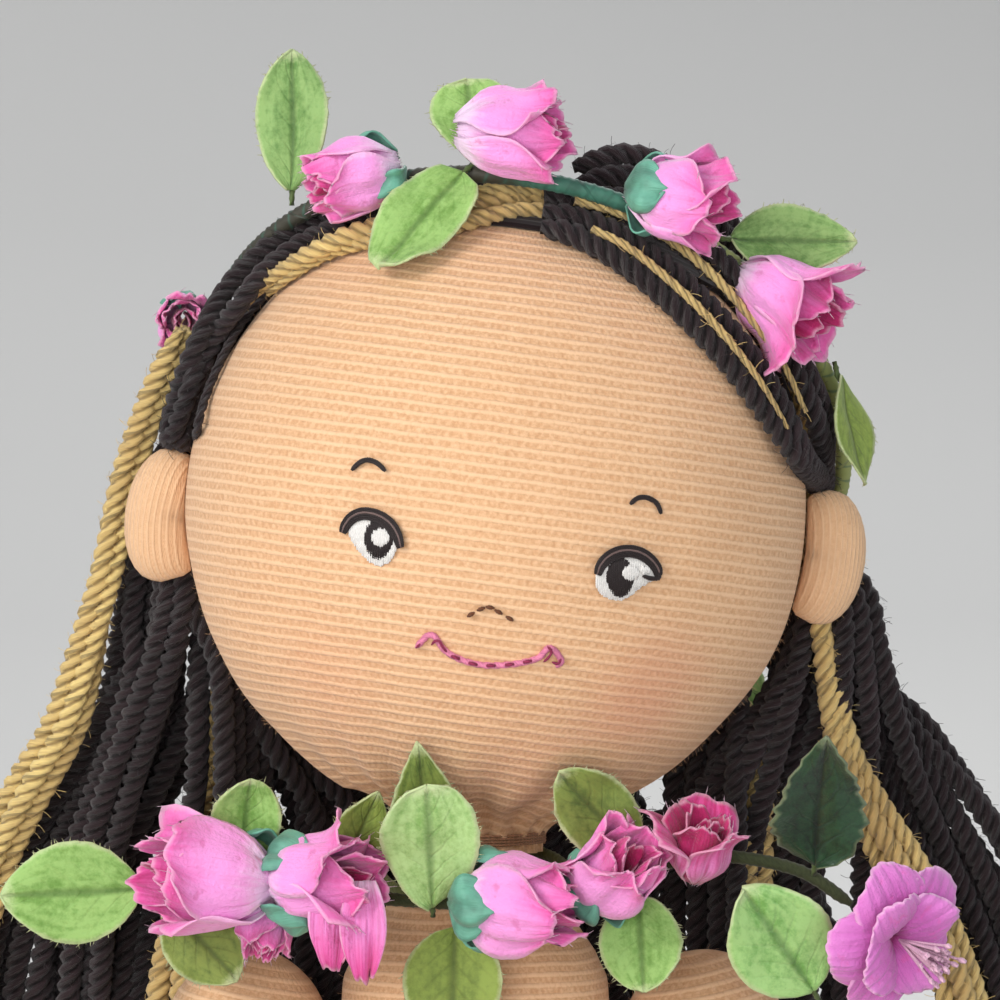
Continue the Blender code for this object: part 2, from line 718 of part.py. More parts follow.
# Height, radius, and how much of the petals' overlap and of their pointed lips each level has
ROSE_SHARES = (
    (0.00, 0.20, 0.0, 0.0),
    (0.06, 0.50, 0.0, 0.0),
    (0.20, 0.64, 0.0, 0.0),
    (0.26, 0.56, 0.2, 0.0),
    (0.48, 0.92, 1.0, 0.0),
    (0.72, 0.95, 1.0, 0.8),
    (0.75, 0.80, 0.8, 0.8),
    (0.62, 0.56, 0.2, 0.0),
    (0.82, 0.47, 0.6, 0.4),
    (0.94, 0.22, 0.2, 0.2),
)
ROSE_DIMPLE_SHARE = 0.88
OUTER_PETALS = 3
PETAL_POINTS = 4
PETAL_STEP_SHARE = 0.10
PETAL_LIP_SHARE = 0.14
PETAL_CROWDING = 0.1
ROSE_SPREAD = 1.06


def rosebud(name, matrix, size, turn, finish):
    """A bud in its cup: outer petals that overlap one way round and lip over, about a tighter heart."""
    length, radius = ROSE_LENGTH * size, ROSE_RADIUS * size
    count = OUTER_PETALS * PETAL_POINTS
    rings = []
    for rise, out, overlap, lip in ROSE_SHARES:
        ring = []
        for i in range(count):
            across = (i % PETAL_POINTS) / (PETAL_POINTS - 1) * 2 - 1
            reach = radius * (out + overlap * PETAL_STEP_SHARE * across)
            height = length * (rise + lip * PETAL_LIP_SHARE * (1 - across * across))
            angle = math.tau * (i - PETAL_CROWDING * across) / count + turn
            ring.append(Vector((reach * math.cos(angle), reach * math.sin(angle), height)))
        rings.append(ring)
    poles = (None, UP * (length * ROSE_DIMPLE_SHARE))
    return place(loft(name, rings, finish, poles), matrix)


# Height, radius and lobing of each level of an open flower, round its cup, petals and stamens
FLOWER_SHARES = (
    (0.00, 0.10, 0.0),
    (0.10, 0.22, 0.0),
    (0.30, 0.52, 0.3),
    (0.46, 1.00, 1.0),
    (0.53, 0.97, 1.0),
    (0.38, 0.46, 0.3),
    (0.26, 0.16, 0.0),
    (0.70, 0.10, 0.0),
    (0.80, 0.13, 0.0),
)
FLOWER_PETALS = 5
FLOWER_POINTS = 4
FLOWER_CLEFT_SHARE = 0.42
STAMEN_TOP_SHARE = 0.83


def open_flower(name, matrix, size, finish):
    """A flower with spread petals round a column of stamens."""
    length, radius = ROSE_LENGTH * size, ROSE_RADIUS * 2 * size
    count = FLOWER_PETALS * FLOWER_POINTS
    rings = []
    for rise, out, lobing in FLOWER_SHARES:
        ring = []
        for i in range(count):
            lobe = 0.5 + 0.5 * math.cos(math.tau * i / FLOWER_POINTS)
            reach = radius * out * (1 - FLOWER_CLEFT_SHARE * lobing * (1 - lobe))
            angle = math.tau * i / count
            ring.append(Vector((reach * math.cos(angle), reach * math.sin(angle), length * rise)))
        rings.append(ring)
    return place(loft(name, rings, finish, poles=(None, UP * length * STAMEN_TOP_SHARE)), matrix)


# Distance along the leaf and half width of each row
LEAF_SHARES = ((0.00, 0.16), (0.25, 0.80), (0.50, 1.00), (0.80, 0.62), (1.00, 0.08))
LEAF_FOLD_SHARE = 0.16
LEAF_BEND_SHARE = 0.16


def leaf(name, matrix, length_size, width_size, bend, finish):
    """A folded leaf on a short stalk, along local +Z, with its face to local -Y."""
    length, width = LEAF_LENGTH * length_size, LEAF_WIDTH * width_size
    bm = bmesh.new()
    rows = []
    for along, half in LEAF_SHARES:
        droop = bend * LEAF_BEND_SHARE * length * along**2
        edge = half * width / 2
        z = STALK_LENGTH + along * length
        rows.append([bm.verts.new((x, droop - LEAF_FOLD_SHARE * abs(x), z)) for x in (-edge, 0, edge)])
    for low, high in zip(rows, rows[1:]):
        for i in (0, 1):
            bm.faces.new((low[i], low[i + 1], high[i + 1], high[i]))
    made = thicken(new_object(name, bm, finish), LEAF_THICK)
    levels = ((0, STALK_RADIUS), (STALK_LENGTH + length * 0.2, STALK_RADIUS))
    boolean(made, upright("stalk", levels, 6), "UNION")
    return place(made, matrix)


# Crown


def crown_point(angle, lift):
    """A point of the crown's slanting plane, lift outside the head, at an angle from the left side."""
    rise = math.sin(angle)
    start = CROWN_TURN @ Vector((0, CROWN_BACK, CROWN_RISE))
    way = CROWN_TURN @ Vector((math.cos(angle), -rise * math.cos(CROWN_LEAN), rise * math.sin(CROWN_LEAN)))
    a = b = c = 0
    for i, half in enumerate(HEAD_HALF):
        a += (way[i] / (half + lift)) ** 2
        b += way[i] * start[i] / (half + lift) ** 2
        c += (start[i] / (half + lift)) ** 2
    reach = (math.sqrt(b * b - a * (c - 1)) - b) / a
    return HEAD_PLACE @ (start + way * reach)


CROWN_LIFT = GAP + FRINGE_THICK + 2 * GAP + BAND_RADIUS
SEAT_SHARE = 0.45


def seated(point, off, axis, bar, radius, length=0):
    """The foot of an item of this radius and length that touches a bar, lying or standing on it."""
    lying = math.sqrt(max(1 - axis.dot(off) ** 2, 0))
    start = point + off * (bar + GAP + radius * lying)
    return start - axis * (length * SEAT_SHARE * lying)


def crown_place(degrees, way, rest, radius, length=0, ahead_share=0):
    """Where an item touches the band, and which way it points, in the head's own frame.

    It faces away from the head, and the more to the front the larger ahead_share is.
    """
    angle = math.radians(degrees)
    point = crown_point(angle, CROWN_LIFT)
    ahead = (crown_point(angle + CROWN_NUDGE, CROWN_LIFT) - point).normalized()
    off = HEAD_TURN @ Vector(rest)
    off = (off - ahead * off.dot(ahead)).normalized()
    axis = (HEAD_TURN @ Vector(way)).normalized()
    front = from_head(point) + FRONT * ahead_share
    return facing(seated(point, off, axis, BAND_RADIUS, radius, length), axis, front)


# Angle on the band, which way the bud points, the side of the band that it sits on, size and turn
CROWN_ROSE_SHARES = {
    "crown_rose_1": (103, (1.00, -0.15, 0.10), (0.0, -0.70, 0.8), 1.05, 0.2),
    "crown_rose_2": (77, (0.98, -0.25, 0.00), (0.2, -1.00, 0.5), 0.95, 0.9),
    "crown_rose_3": (53, (0.82, -0.30, -0.42), (0.5, -1.00, -0.3), 1.05, 1.7),
    "crown_rose_4": (177, (0.10, -0.95, -0.10), (-0.9, -1.00, 0.3), 0.64, 0.5),
    "crown_rose_5": (-84, (1.00, 0.20, 0.00), (0.0, 1.00, 0.2), 1.0, 1.1),
    "crown_bud": (127, (-0.90, -0.20, -0.45), (-0.2, -1.00, 0.4), 0.88, 2.3),
}
# Angle on the band, which way the leaf points, the side of the band, length, width, bend, finish and
# how much more it faces the front
CROWN_LEAF_SHARES = {
    "crown_leaf_1": (144, (-0.20, 0.00, 1.00), (-0.6, 0.30, 1.0), 1.15, 0.98, 0.4, "leaf", 2.0),
    "crown_leaf_2": (109, (-0.66, -0.50, -0.75), (-0.1, -1.00, 0.3), 1.15, 0.95, 0.5, "leaf", 1.0),
    "crown_leaf_3": (110, (-0.25, 0.30, 0.95), (0.0, 0.60, 1.0), 0.62, 0.95, 0.4, "olive", 2.0),
    "crown_leaf_4": (66, (0.95, 0.10, 0.10), (0.5, 0.90, 1.0), 1.0, 0.85, -0.4, "leaf", 2.0),
    "crown_leaf_5": (35, (0.38, -0.15, -0.91), (1.0, 0.10, 0.1), 0.95, 0.85, 0.4, "olive", 0.4),
    "crown_leaf_6": (-45, (0.60, 0.60, -0.50), (0.7, 0.70, 0.1), 1.1, 0.9, 0.5, "leaf", 0.0),
    "crown_leaf_7": (-130, (-0.60, 0.60, -0.50), (-0.7, 0.70, 0.1), 1.1, 0.9, 0.5, "leaf", 0.0),
}
CROWN_NUDGE = 0.05


def build_crown(finish):
    path = [crown_point(math.tau * i / 32, CROWN_LIFT) for i in range(32)]
    line = fine_line([*path, path[0]])
    ring_bar("crown_band", path, BAND_RADIUS, 6, finish["band"])
    for name, (degrees, way, rest, size, turn) in CROWN_ROSE_SHARES.items():
        where = crown_place(degrees, way, rest, ROSE_RADIUS * ROSE_SPREAD * size, ROSE_LENGTH * size)
        tone = "magenta" if name == "crown_rose_3" else "pink"
        snug(rosebud(name, where, size, turn, finish[tone]), line, BAND_RADIUS + GAP)
    for name, (degrees, way, rest, long, wide, bend, tone, ahead) in CROWN_LEAF_SHARES.items():
        where = crown_place(degrees, way, rest, STALK_RADIUS, ahead_share=ahead)
        leaf(name, where, long, wide, bend, finish[tone])


# Garland

STEM_SHARES = (
    (-0.500, -0.200, -0.590),
    (-0.430, -0.205, -0.590),
    (-0.240, -0.208, -0.600),
    (0.060, -0.210, -0.615),
    (0.220, -0.210, -0.575),
    (0.360, -0.208, -0.540),
    (0.500, -0.200, -0.560),
    (0.590, -0.195, -0.615),
)
STEM_TAPER_SHARES = (1.2, 2, 2, 2, 2, 1.2)


def stem_path(steps):
    middle = Vector((0, 0, HEAD_AT.z))
    return smooth_path([middle + Vector(share) * HEAD_WIDTH for share in STEM_SHARES], steps)


# Place along the stem, which way the bud points, the side of the stem that it sits on, size and turn
GARLAND_ROSE_SHARES = {
    "garland_rose_1": (-0.405, (-0.95, -0.25, 0.10), (-1, 0.25), 1.28, 0.4),
    "garland_rose_2": (-0.250, (0.80, -0.50, 0.10), (-1, 0.1), 1.12, 1.0),
    "garland_rose_3": (0.076, (0.95, -0.30, -0.05), (-1, 0.15), 1.15, 0.1),
    "garland_rose_4": (0.200, (0.50, -0.66, 0.55), (-1, 0.1), 0.98, 2.0),
    "garland_rose_5": (0.325, (0.10, -0.45, 0.90), (-1, 0.3), 0.82, 0.7),
    "garland_bud": (-0.311, (-0.08, -0.60, -1.00), (-0.7, -1), 0.62, 0.3),
}
GARLAND_LEAF_SHARES = {
    "garland_leaf_1": (-0.500, (-1.0, -0.02, -0.04), (-1, 0), 1.12, 1.25, -0.4, "leaf"),
    "garland_leaf_2": (-0.375, (0.10, -0.25, 1.0), (-0.3, 1), 0.75, 0.8, -0.4, "leaf"),
    "garland_leaf_3": (-0.490, (0.80, -0.08, -0.80), (0, -1), 0.80, 0.95, -0.4, "olive"),
    "garland_leaf_4": (-0.205, (0.35, -0.35, 0.85), (-0.3, 1), 0.80, 0.62, -0.4, "leaf"),
    "garland_leaf_5": (-0.065, (-0.08, -0.55, 1.0), (-0.7, 1), 1.30, 0.95, 0.3, "olive"),
    "garland_leaf_6": (-0.085, (-0.03, -0.95, 1.0), (-1, -0.3), 1.15, 1.15, 0.5, "leaf"),
    "garland_leaf_7": (-0.020, (-0.05, -0.15, -1.0), (-0.3, -1), 1.05, 1.2, 0.3, "olive"),
    "garland_leaf_8": (0.265, (-0.75, -0.42, 0.80), (-0.3, 1), 1.0, 0.95, -0.2, "leaf"),
    "garland_leaf_9": (0.255, (0.05, -0.25, -0.95), (-0.4, -1), 0.75, 1.0, 0.3, "olive"),
}


def stem_place(across, way, rest, radius, length=0):
    """Where an item rests on the stem and which way it points."""
    path = stem_path(60)
    target = across * HEAD_WIDTH
    i = min(range(len(path)), key=lambda k: abs(path[k].x - target))
    axis = Vector(way).normalized()
    ahead = tangent(path, i)
    off = Vector((0, rest[0], rest[1]))
    off = (off - ahead * off.dot(ahead)).normalized()
    return facing(seated(path[i], off, axis, STEM_RADIUS, radius, length), axis, FRONT)


def build_garland(finish):
    path = stem_path(16)
    line = fine_line(path)
    back = NECK_AT - FRONT * (NECK_HOLE + SKIN + GAP + CORD_RADIUS) - UP * CORD_RADIUS
    front = min(line, key=lambda p: abs(p.x)) - FRONT * (STEM_RADIUS + GAP + CORD_RADIUS)
    middle = (back + front) / 2
    loop = oval(middle, CORD_LOOP, (front - middle).length, 24, RIGHT, (front - middle).normalized())
    ring_bar("garland_cord", loop, CORD_RADIUS, 6, finish["cord"])
    sizes = [STEM_RADIUS * share for share in STEM_TAPER_SHARES]
    sweep("garland_stem", path, sizes, sizes, lambda point: FRONT, 6, finish["band"])
    for name, (across, way, rest, size, turn) in GARLAND_ROSE_SHARES.items():
        where = stem_place(across, way, rest, ROSE_RADIUS * ROSE_SPREAD * size, ROSE_LENGTH * size)
        tone = "magenta" if name in ("garland_rose_5", "garland_bud") else "pink"
        snug(rosebud(name, where, size, turn, finish[tone]), line, STEM_RADIUS + GAP)
    for name, (across, way, rest, long, wide, bend, tone) in GARLAND_LEAF_SHARES.items():
        where = stem_place(across, way, rest, STALK_RADIUS)
        leaf(name, where, long, wide, bend, finish[tone])
    build_spray(finish)


SPRAY_LEAF_SHARES = {
    "spray_leaf_1": (0.525, (0.05, -0.70, 0.80), (-0.5, 1), 1.28, 1.25, -0.3, "olive"),
    "spray_leaf_2": (0.480, (0.00, -0.45, -0.90), (-0.5, -1), 1.05, 1.45, 0.4, "gloss"),
}
SPRAY_FLOWER_SHARES = (0.59, (0.75, -0.45, -0.50), (-0.5, -0.4))


def build_spray(finish):
    """The larger leaves and the open flower at the left end of the garland."""
    for name, (across, way, rest, long, wide, bend, tone) in SPRAY_LEAF_SHARES.items():
        leaf(name, stem_place(across, way, rest, STALK_RADIUS), long, wide, bend, finish[tone])
    where = stem_place(*SPRAY_FLOWER_SHARES, STALK_RADIUS)
    open_flower("spray_flower", where, 1.0, finish["magenta"])


# Pivots: an empty on each joint's axis carries the pieces that turn about it


def pivot(name, at, parent=None):
    """An empty on a joint's axis."""
    made = bpy.data.objects.new(name, None)
    made.location = at - (parent.location if parent else Vector())
    made.parent = parent
    bpy.context.scene.collection.objects.link(made)
    return made


def hang(carrier, prefixes):
    """Hangs the pieces whose names start so on a pivot, where they already are."""
    bpy.context.view_layer.update()
    for obj in bpy.data.objects:
        if obj.type == "MESH" and obj.name.startswith(prefixes):
            obj.parent = carrier
            obj.matrix_parent_inverse = carrier.matrix_world.inverted()


def crown_centre():
    return HEAD_PLACE @ (CROWN_TURN @ Vector((0, CROWN_BACK, CROWN_RISE)))


def build_pivots():
    head = pivot("head_pivot", NECK_AT)
    hang(head, ("head", "neck", "ear", "hair", "fringe", "lock"))
    crown = pivot("crown_pivot", crown_centre(), head)
    hang(crown, ("crown",))
    for name, side in (("left", 1), ("right", -1)):
        shoulder = Vector((side * SHOULDER_HALF, 0, TORSO_HEIGHT - SHOULDER_DROP))
        hang(pivot("shoulder_pivot_" + name, shoulder), ("arm_" + name,))
        hip = Vector((side * HIP_HALF, -HIP_FORWARD, HIP_RADIUS - FLAT))
        hang(pivot("hip_pivot_" + name, hip), ("leg_" + name,))


def clear_scene():
    for obj in list(bpy.data.objects):
        bpy.data.objects.remove(obj)


def main():
    clear_scene()
    finish = build_materials()
    build_torso(finish)
    build_head(finish)
    for name in EAR_RISE_SHARES:
        ear_form(name, 0, finish["knit"])
    build_arm("arm_left", 1, finish["knit"])
    build_arm("arm_right", -1, finish["knit"])
    build_leg("leg_left", 1, finish["knit"])
    build_leg("leg_right", -1, finish["knit"])
    build_cap(finish["dark"])
    for name in FRINGE_SHARES:
        fringe_form(name, 0, finish["gold" if name == "fringe_gold" else "dark"])
    for name in LOCK_SHARES:
        build_lock(name, finish)
    build_crown(finish)
    build_garland(finish)
    build_pivots()


main()
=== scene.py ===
import math
import random

import bmesh
import bpy
import numpy as np
from bpy.props import FloatProperty, FloatVectorProperty, IntProperty, PointerProperty
from mathutils import Matrix, Vector, noise


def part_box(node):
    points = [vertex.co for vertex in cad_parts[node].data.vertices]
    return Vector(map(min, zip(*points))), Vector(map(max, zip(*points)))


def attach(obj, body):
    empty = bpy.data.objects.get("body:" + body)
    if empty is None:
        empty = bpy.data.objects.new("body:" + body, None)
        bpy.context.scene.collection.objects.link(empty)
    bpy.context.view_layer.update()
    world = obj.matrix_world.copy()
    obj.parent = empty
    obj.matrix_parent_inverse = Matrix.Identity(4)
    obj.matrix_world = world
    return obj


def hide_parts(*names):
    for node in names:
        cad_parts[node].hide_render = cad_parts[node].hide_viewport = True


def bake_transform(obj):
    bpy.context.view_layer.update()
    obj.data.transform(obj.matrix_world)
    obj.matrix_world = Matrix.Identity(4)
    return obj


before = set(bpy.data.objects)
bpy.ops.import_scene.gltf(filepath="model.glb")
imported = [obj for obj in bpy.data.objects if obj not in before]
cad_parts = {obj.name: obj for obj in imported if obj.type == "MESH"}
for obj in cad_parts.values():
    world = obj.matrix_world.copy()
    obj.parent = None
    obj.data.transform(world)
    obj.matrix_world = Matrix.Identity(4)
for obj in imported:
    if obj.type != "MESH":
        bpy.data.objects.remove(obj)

bl_info = {
    "name": "Waldorf doll",
    "version": (1, 0, 0),
    "blender": (4, 5, 0),
    "location": "3D View > Sidebar > Doll",
    "description": "Builds a sitting waldorf doll with yarn hair, a flower crown and a flower garland",
    "category": "Add Mesh",
}

MM = 0.001
TAU = math.tau
UP = Vector((0, 0, 1))
FRONT = Vector((0, -1, 0))
RIGHT = Vector((1, 0, 0))

# The photograph's view: its middle in pixels, the pixel over the doll's middle, and metres per pixel there
PIXEL = 0.145 * MM
PHOTO_SIZE = 1000
PHOTO_MIDDLE = 500
CENTRE_PIXEL = (476, 822)
CENTRE_HEIGHT = 101 * MM
CAMERA_DISTANCE = 700 * MM
CAMERA_AT = Vector((
    (PHOTO_MIDDLE - CENTRE_PIXEL[0]) * PIXEL,
    -CAMERA_DISTANCE,
    CENTRE_HEIGHT + (CENTRE_PIXEL[1] - PHOTO_MIDDLE) * PIXEL,
))

# The head's frame: its centre, half sizes and lean, as in the CAD
HEAD_AT = Vector((3 * MM, 0, 146 * MM))
HEAD_HALF = Vector((45 * MM, 42 * MM, 45 * MM))
HEAD_WIDTH = 90 * MM
HEAD_TURN = Matrix.Rotation(math.radians(8), 3, "Y")
HEAD_PLACE = Matrix.Translation(HEAD_AT) @ HEAD_TURN.to_4x4()
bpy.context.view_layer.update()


# Graphs: sockets that take part in plain arithmetic


class Value:
    """An output socket of a shader or geometry graph, with arithmetic that adds Math nodes."""

    def __init__(self, graph, socket):
        self.graph = graph
        self.socket = socket

    def __add__(self, other):
        return self.graph.maths("ADD", self, other)

    def __sub__(self, other):
        return self.graph.maths("SUBTRACT", self, other)

    def __rsub__(self, other):
        return self.graph.maths("SUBTRACT", other, self)

    def __mul__(self, other):
        return self.graph.maths("MULTIPLY", self, other)

    def __truediv__(self, other):
        return self.graph.maths("DIVIDE", self, other)

    def __rtruediv__(self, other):
        return self.graph.maths("DIVIDE", other, self)

    def __pow__(self, other):
        return self.graph.maths("POWER", self, other)

    __radd__ = __add__
    __rmul__ = __mul__

    def call(self, operation, *others):
        return self.graph.maths(operation, self, *others)


class Graph:
    """Adds nodes to a tree by type, settings and socket values."""

    def __init__(self, tree):
        self.tree = tree

    def node(self, kind, settings=(), sockets=(), output=0):
        made = self.tree.nodes.new(kind)
        for key, value in dict(settings).items():
            if key == "stops":
                self.set_stops(made.color_ramp, value)
            else:
                setattr(made, key, value)
        for key, value in dict(sockets).items():
            target = made.inputs[key]
            if isinstance(value, Value):
                self.tree.links.new(value.socket, target)
            else:
                target.default_value = value
        if isinstance(output, (list, tuple)):
            return [Value(self, made.outputs[name]) for name in output]
        return Value(self, made.outputs[output])

    @staticmethod
    def set_stops(ramp, stops):
        while len(ramp.elements) < len(stops):
            ramp.elements.new(1)
        for element, (position, colour) in zip(ramp.elements, stops):
            element.position = position
            element.color = (*colour, 1)

    def maths(self, operation, *values):
        return self.node("ShaderNodeMath", {"operation": operation}, dict(enumerate(values)))

    def point(self, *parts):
        return self.node("ShaderNodeCombineXYZ", sockets=dict(enumerate(parts)))

    def vector(self, operation, a, b):
        return self.node("ShaderNodeVectorMath", {"operation": operation}, {0: a, 1: b})

    def dot(self, a, b):
        return self.node("ShaderNodeVectorMath", {"operation": "DOT_PRODUCT"}, {0: a, 1: b}, "Value")

    def smooth(self, value, low, high):
        sockets = {"Value": value, "From Min": low, "From Max": high}
        return self.node("ShaderNodeMapRange", {"interpolation_type": "SMOOTHSTEP"}, sockets)


class Finish(Graph):
    """A Principled material that is built from expressions."""

    def __init__(self, name, roughness, **uniform):
        self.material = bpy.data.materials.new(name)
        self.material.use_nodes = True
        super().__init__(self.material.node_tree)
        self.shader = self.tree.nodes["Principled BSDF"]
        self.shader.inputs["Roughness"].default_value = roughness
        for key, value in uniform.items():
            self.shader.inputs[key.replace("_", " ")].default_value = value
        self.place = self.node("ShaderNodeTexCoord", output="Object")

    def attribute(self, name, output="Fac"):
        return self.node("ShaderNodeAttribute", {"attribute_name": name}, output=output)

    def noise(self, place, scale, detail=2.0, roughness=0.5):
        sockets = {"Vector": place, "Scale": scale, "Detail": detail, "Roughness": roughness}
        return self.node("ShaderNodeTexNoise", sockets=sockets, output="Fac")

    def mix(self, factor, first, second, blend="MIX"):
        made = self.tree.nodes.new("ShaderNodeMix")
        made.data_type = "RGBA"
        made.blend_type = blend
        for index, value in ((0, factor), (6, first), (7, second)):
            if isinstance(value, Value):
                self.tree.links.new(value.socket, made.inputs[index])
            else:
                made.inputs[index].default_value = value if index == 0 else (*value, 1)
        return Value(self, made.outputs[2])

    def connect(self, name, value):
        self.tree.links.new(value.socket, self.shader.inputs[name])

    def bump(self, height, distance, strength=1.0):
        sockets = {"Height": height, "Distance": distance, "Strength": strength}
        self.connect("Normal", self.node("ShaderNodeBump", sockets=sockets))


class Maker(Graph):
    """A geometry tree with named inputs, run once on an object and turned into a plain mesh."""

    def __init__(self, name, inputs):
        super().__init__(bpy.data.node_groups.new(name, "GeometryNodeTree"))
        face = self.tree.interface
        face.new_socket("Geometry", in_out="INPUT", socket_type="NodeSocketGeometry")
        self.names = {}
        for label, (kind, value) in inputs.items():
            socket = face.new_socket(label, in_out="INPUT", socket_type="NodeSocket" + kind)
            self.names[label] = socket.identifier
            if value is not None:
                socket.default_value = value
        face.new_socket("Geometry", in_out="OUTPUT", socket_type="NodeSocketGeometry")
        self.group_input = self.tree.nodes.new("NodeGroupInput")
        self.group_output = self.tree.nodes.new("NodeGroupOutput")

    def given(self, label):
        return Value(self, self.group_input.outputs[label])

    def close(self, geometry):
        """Ends the tree in Realize Instances and Set Material."""
        real = self.node("GeometryNodeRealizeInstances", sockets={"Geometry": geometry})
        sockets = {"Geometry": real, "Material": self.given("Material")}
        painted = self.node("GeometryNodeSetMaterial", sockets=sockets)
        self.tree.links.new(painted.socket, self.group_output.inputs["Geometry"])

    def run(self, obj, **values):
        step = obj.modifiers.new("maker", "NODES")
        step.node_group = self.tree
        for label, value in values.items():
            step[self.names[label.replace("_", " ")]] = value
        return settle(obj)


# Meshes


def settle(obj):
    """Works the modifiers of an object into its mesh."""
    bpy.context.view_layer.update()
    graph = bpy.context.evaluated_depsgraph_get()
    mesh = bpy.data.meshes.new_from_object(obj.evaluated_get(graph))
    obj.modifiers.clear()
    old = obj.data
    obj.data = mesh
    if old.users == 0:
        bpy.data.meshes.remove(old)
    return obj


def new_object(name, points, faces, finish=None, edges=()):
    mesh = bpy.data.meshes.new(name)
    mesh.from_pydata([tuple(p) for p in points], list(edges), faces)
    mesh.shade_smooth()
    if finish:
        mesh.materials.append(finish.material)
    made = bpy.data.objects.new(name, mesh)
    bpy.context.scene.collection.objects.link(made)
    return made


def sheet_faces(rows, columns, start=0, round_it=False):
    """The quads between rows of points, round_it where the last column meets the first."""
    faces = []
    for i in range(rows - 1):
        for j in range(columns - (0 if round_it else 1)):
            k = (j + 1) % columns
            a = start + i * columns
            b = a + columns
            faces.append((a + j, a + k, b + k, b + j))
    return faces


def skin(name, rings, finish, tips=(None, None)):
    """A closed surface over rings of points, with a fan to each tip."""
    count = len(rings[0])
    points = [p for ring in rings for p in ring]
    faces = sheet_faces(len(rings), count, round_it=True)
    last = len(points) - count
    for base, tip, turn in ((0, tips[0], 1), (last, tips[1], -1)):
        if tip is None:
            faces.append([base + i for i in range(count)][::-turn])
            continue
        points.append(tip)
        for i in range(count):
            corner = (base + (i + 1) % count, base + i) if turn > 0 else (base + i, base + (i + 1) % count)
            faces.append((*corner, len(points) - 1))
    made = new_object(name, points, faces, finish)
    tidy_normals(made)
    return made


def tidy_normals(obj):
    bm = bmesh.new()
    bm.from_mesh(obj.data)
    bmesh.ops.recalc_face_normals(bm, faces=bm.faces)
    bm.to_mesh(obj.data)
    bm.free()


def joined(name, objects):
    """One object from several, with their attributes kept."""
    bpy.ops.object.select_all(action="DESELECT")
    for obj in objects:
        obj.select_set(True)
    bpy.context.view_layer.objects.active = objects[0]
    if len(objects) > 1:
        bpy.ops.object.join()
    objects[0].name = name
    objects[0].data.name = name
    return objects[0]


def ring_of(count, point, *given):
    """A ring of points, one at each of count even turns."""
    return [point(TAU * i / count, *given) for i in range(count)]


def oval(centre, half_width, half_depth, count, across, along=FRONT):
    """A ring of points round a centre, in the plane of two directions."""
    turns = [TAU * i / count for i in range(count)]
    return [centre + across * (math.cos(t) * half_width) + along * (math.sin(t) * half_depth) for t in turns]


def lengths_along(path):
    """How far along a path each of its points lies."""
    lengths = [0.0]
    for a, b in zip(path, path[1:]):
        lengths.append(lengths[-1] + (b - a).length)
    return lengths


def smooth_path(points, steps):
    """Points along a Catmull-Rom curve through the given points, close to evenly spaced."""
    knots = [2 * points[0] - points[1], *points, 2 * points[-1] - points[-2]]
    fine = []
    for k in range(len(points) - 1):
        a, b, c, d = knots[k : k + 4]
        for i in range(16):
            u = i / 16
            slope = (c - a) / 2
            bend = a - b * 2.5 + c * 2 - d / 2
            twist = (b * 3 - a - c * 3 + d) / 2
            fine.append(b + slope * u + bend * (u * u) + twist * u**3)
    fine.append(points[-1])
    lengths = lengths_along(fine)
    path = []
    k = 0
    for i in range(steps + 1):
        want = lengths[-1] * i / steps
        while k < len(fine) - 2 and lengths[k + 1] < want:
            k += 1
        span = max(lengths[k + 1] - lengths[k], 1e-12)
        path.append(fine[k].lerp(fine[k + 1], min(max((want - lengths[k]) / span, 0), 1)))
    return path


def blended(values, share):
    at = share * (len(values) - 1)
    k = min(int(at), len(values) - 2)
    return values[k] + (values[k + 1] - values[k]) * (at - k)


def tangent(path, i):
    return (path[min(i + 1, len(path) - 1)] - path[max(i - 1, 0)]).normalized()


def frame_of(axis, front):
    """A turn that takes local +Z to axis and local -Y as near as it can to front."""
    z = axis.normalized()
    x = front.cross(z).normalized() * -1
    return Matrix((x, z.cross(x), z)).transposed()


def set_attribute(obj, name, values, kind="FLOAT", domain="POINT"):
    layer = obj.data.attributes.new(name, kind, domain)
    key = "value" if kind == "FLOAT" else "vector"
    layer.data.foreach_set(key, np.asarray(values, np.float32).ravel())


# The head's surface


def head_local(direction, lift):
    """A point lift outside the head in its own frame."""
    d = Vector(direction).normalized()
    a, b, c = (half + lift for half in HEAD_HALF)
    return d / math.sqrt((d.x / a) ** 2 + (d.y / b) ** 2 + (d.z / c) ** 2)


def on_head(direction, lift):
    return HEAD_PLACE @ head_local(direction, lift)


def from_head(point):
    local = HEAD_PLACE.inverted() @ point
    return (HEAD_TURN @ Vector([local[i] / HEAD_HALF[i] ** 2 for i in range(3)])).normalized()


def at_pixel(x, y, depth=0.0):
    """The point that a pixel of the photograph shows at a depth behind the doll's middle plane."""
    offset = Vector(((x - PHOTO_MIDDLE) * PIXEL, CAMERA_DISTANCE, (PHOTO_MIDDLE - y) * PIXEL))
    return CAMERA_AT + offset * ((CAMERA_DISTANCE + depth) / CAMERA_DISTANCE)


def on_face(x, y, lift):
    """The point that a pixel of the photograph shows on the head, or the nearest edge of it."""
    turn = HEAD_PLACE.inverted()
    eye = turn @ CAMERA_AT
    way = (turn @ at_pixel(x, y)) - eye
    half = Vector([h + lift for h in HEAD_HALF])
    e = Vector([eye[i] / half[i] for i in range(3)])
    w = Vector([way[i] / half[i] for i in range(3)])
    a, b, c = w.dot(w), e.dot(w), e.dot(e) - 1
    inside = max(b * b - a * c, 0.0)
    hit = eye + way * ((-b - math.sqrt(inside)) / a)
    return HEAD_PLACE @ head_local(hit, lift)


# Sizes and colours that a user may change


def srgb(red, green, blue):
    """A colour given in screen values of 0 to 255, as linear light."""
    parts = [value / 255 for value in (red, green, blue)]
    return tuple(p / 12.92 if p <= 0.04045 else ((p + 0.055) / 1.055) ** 2.4 for p in parts)


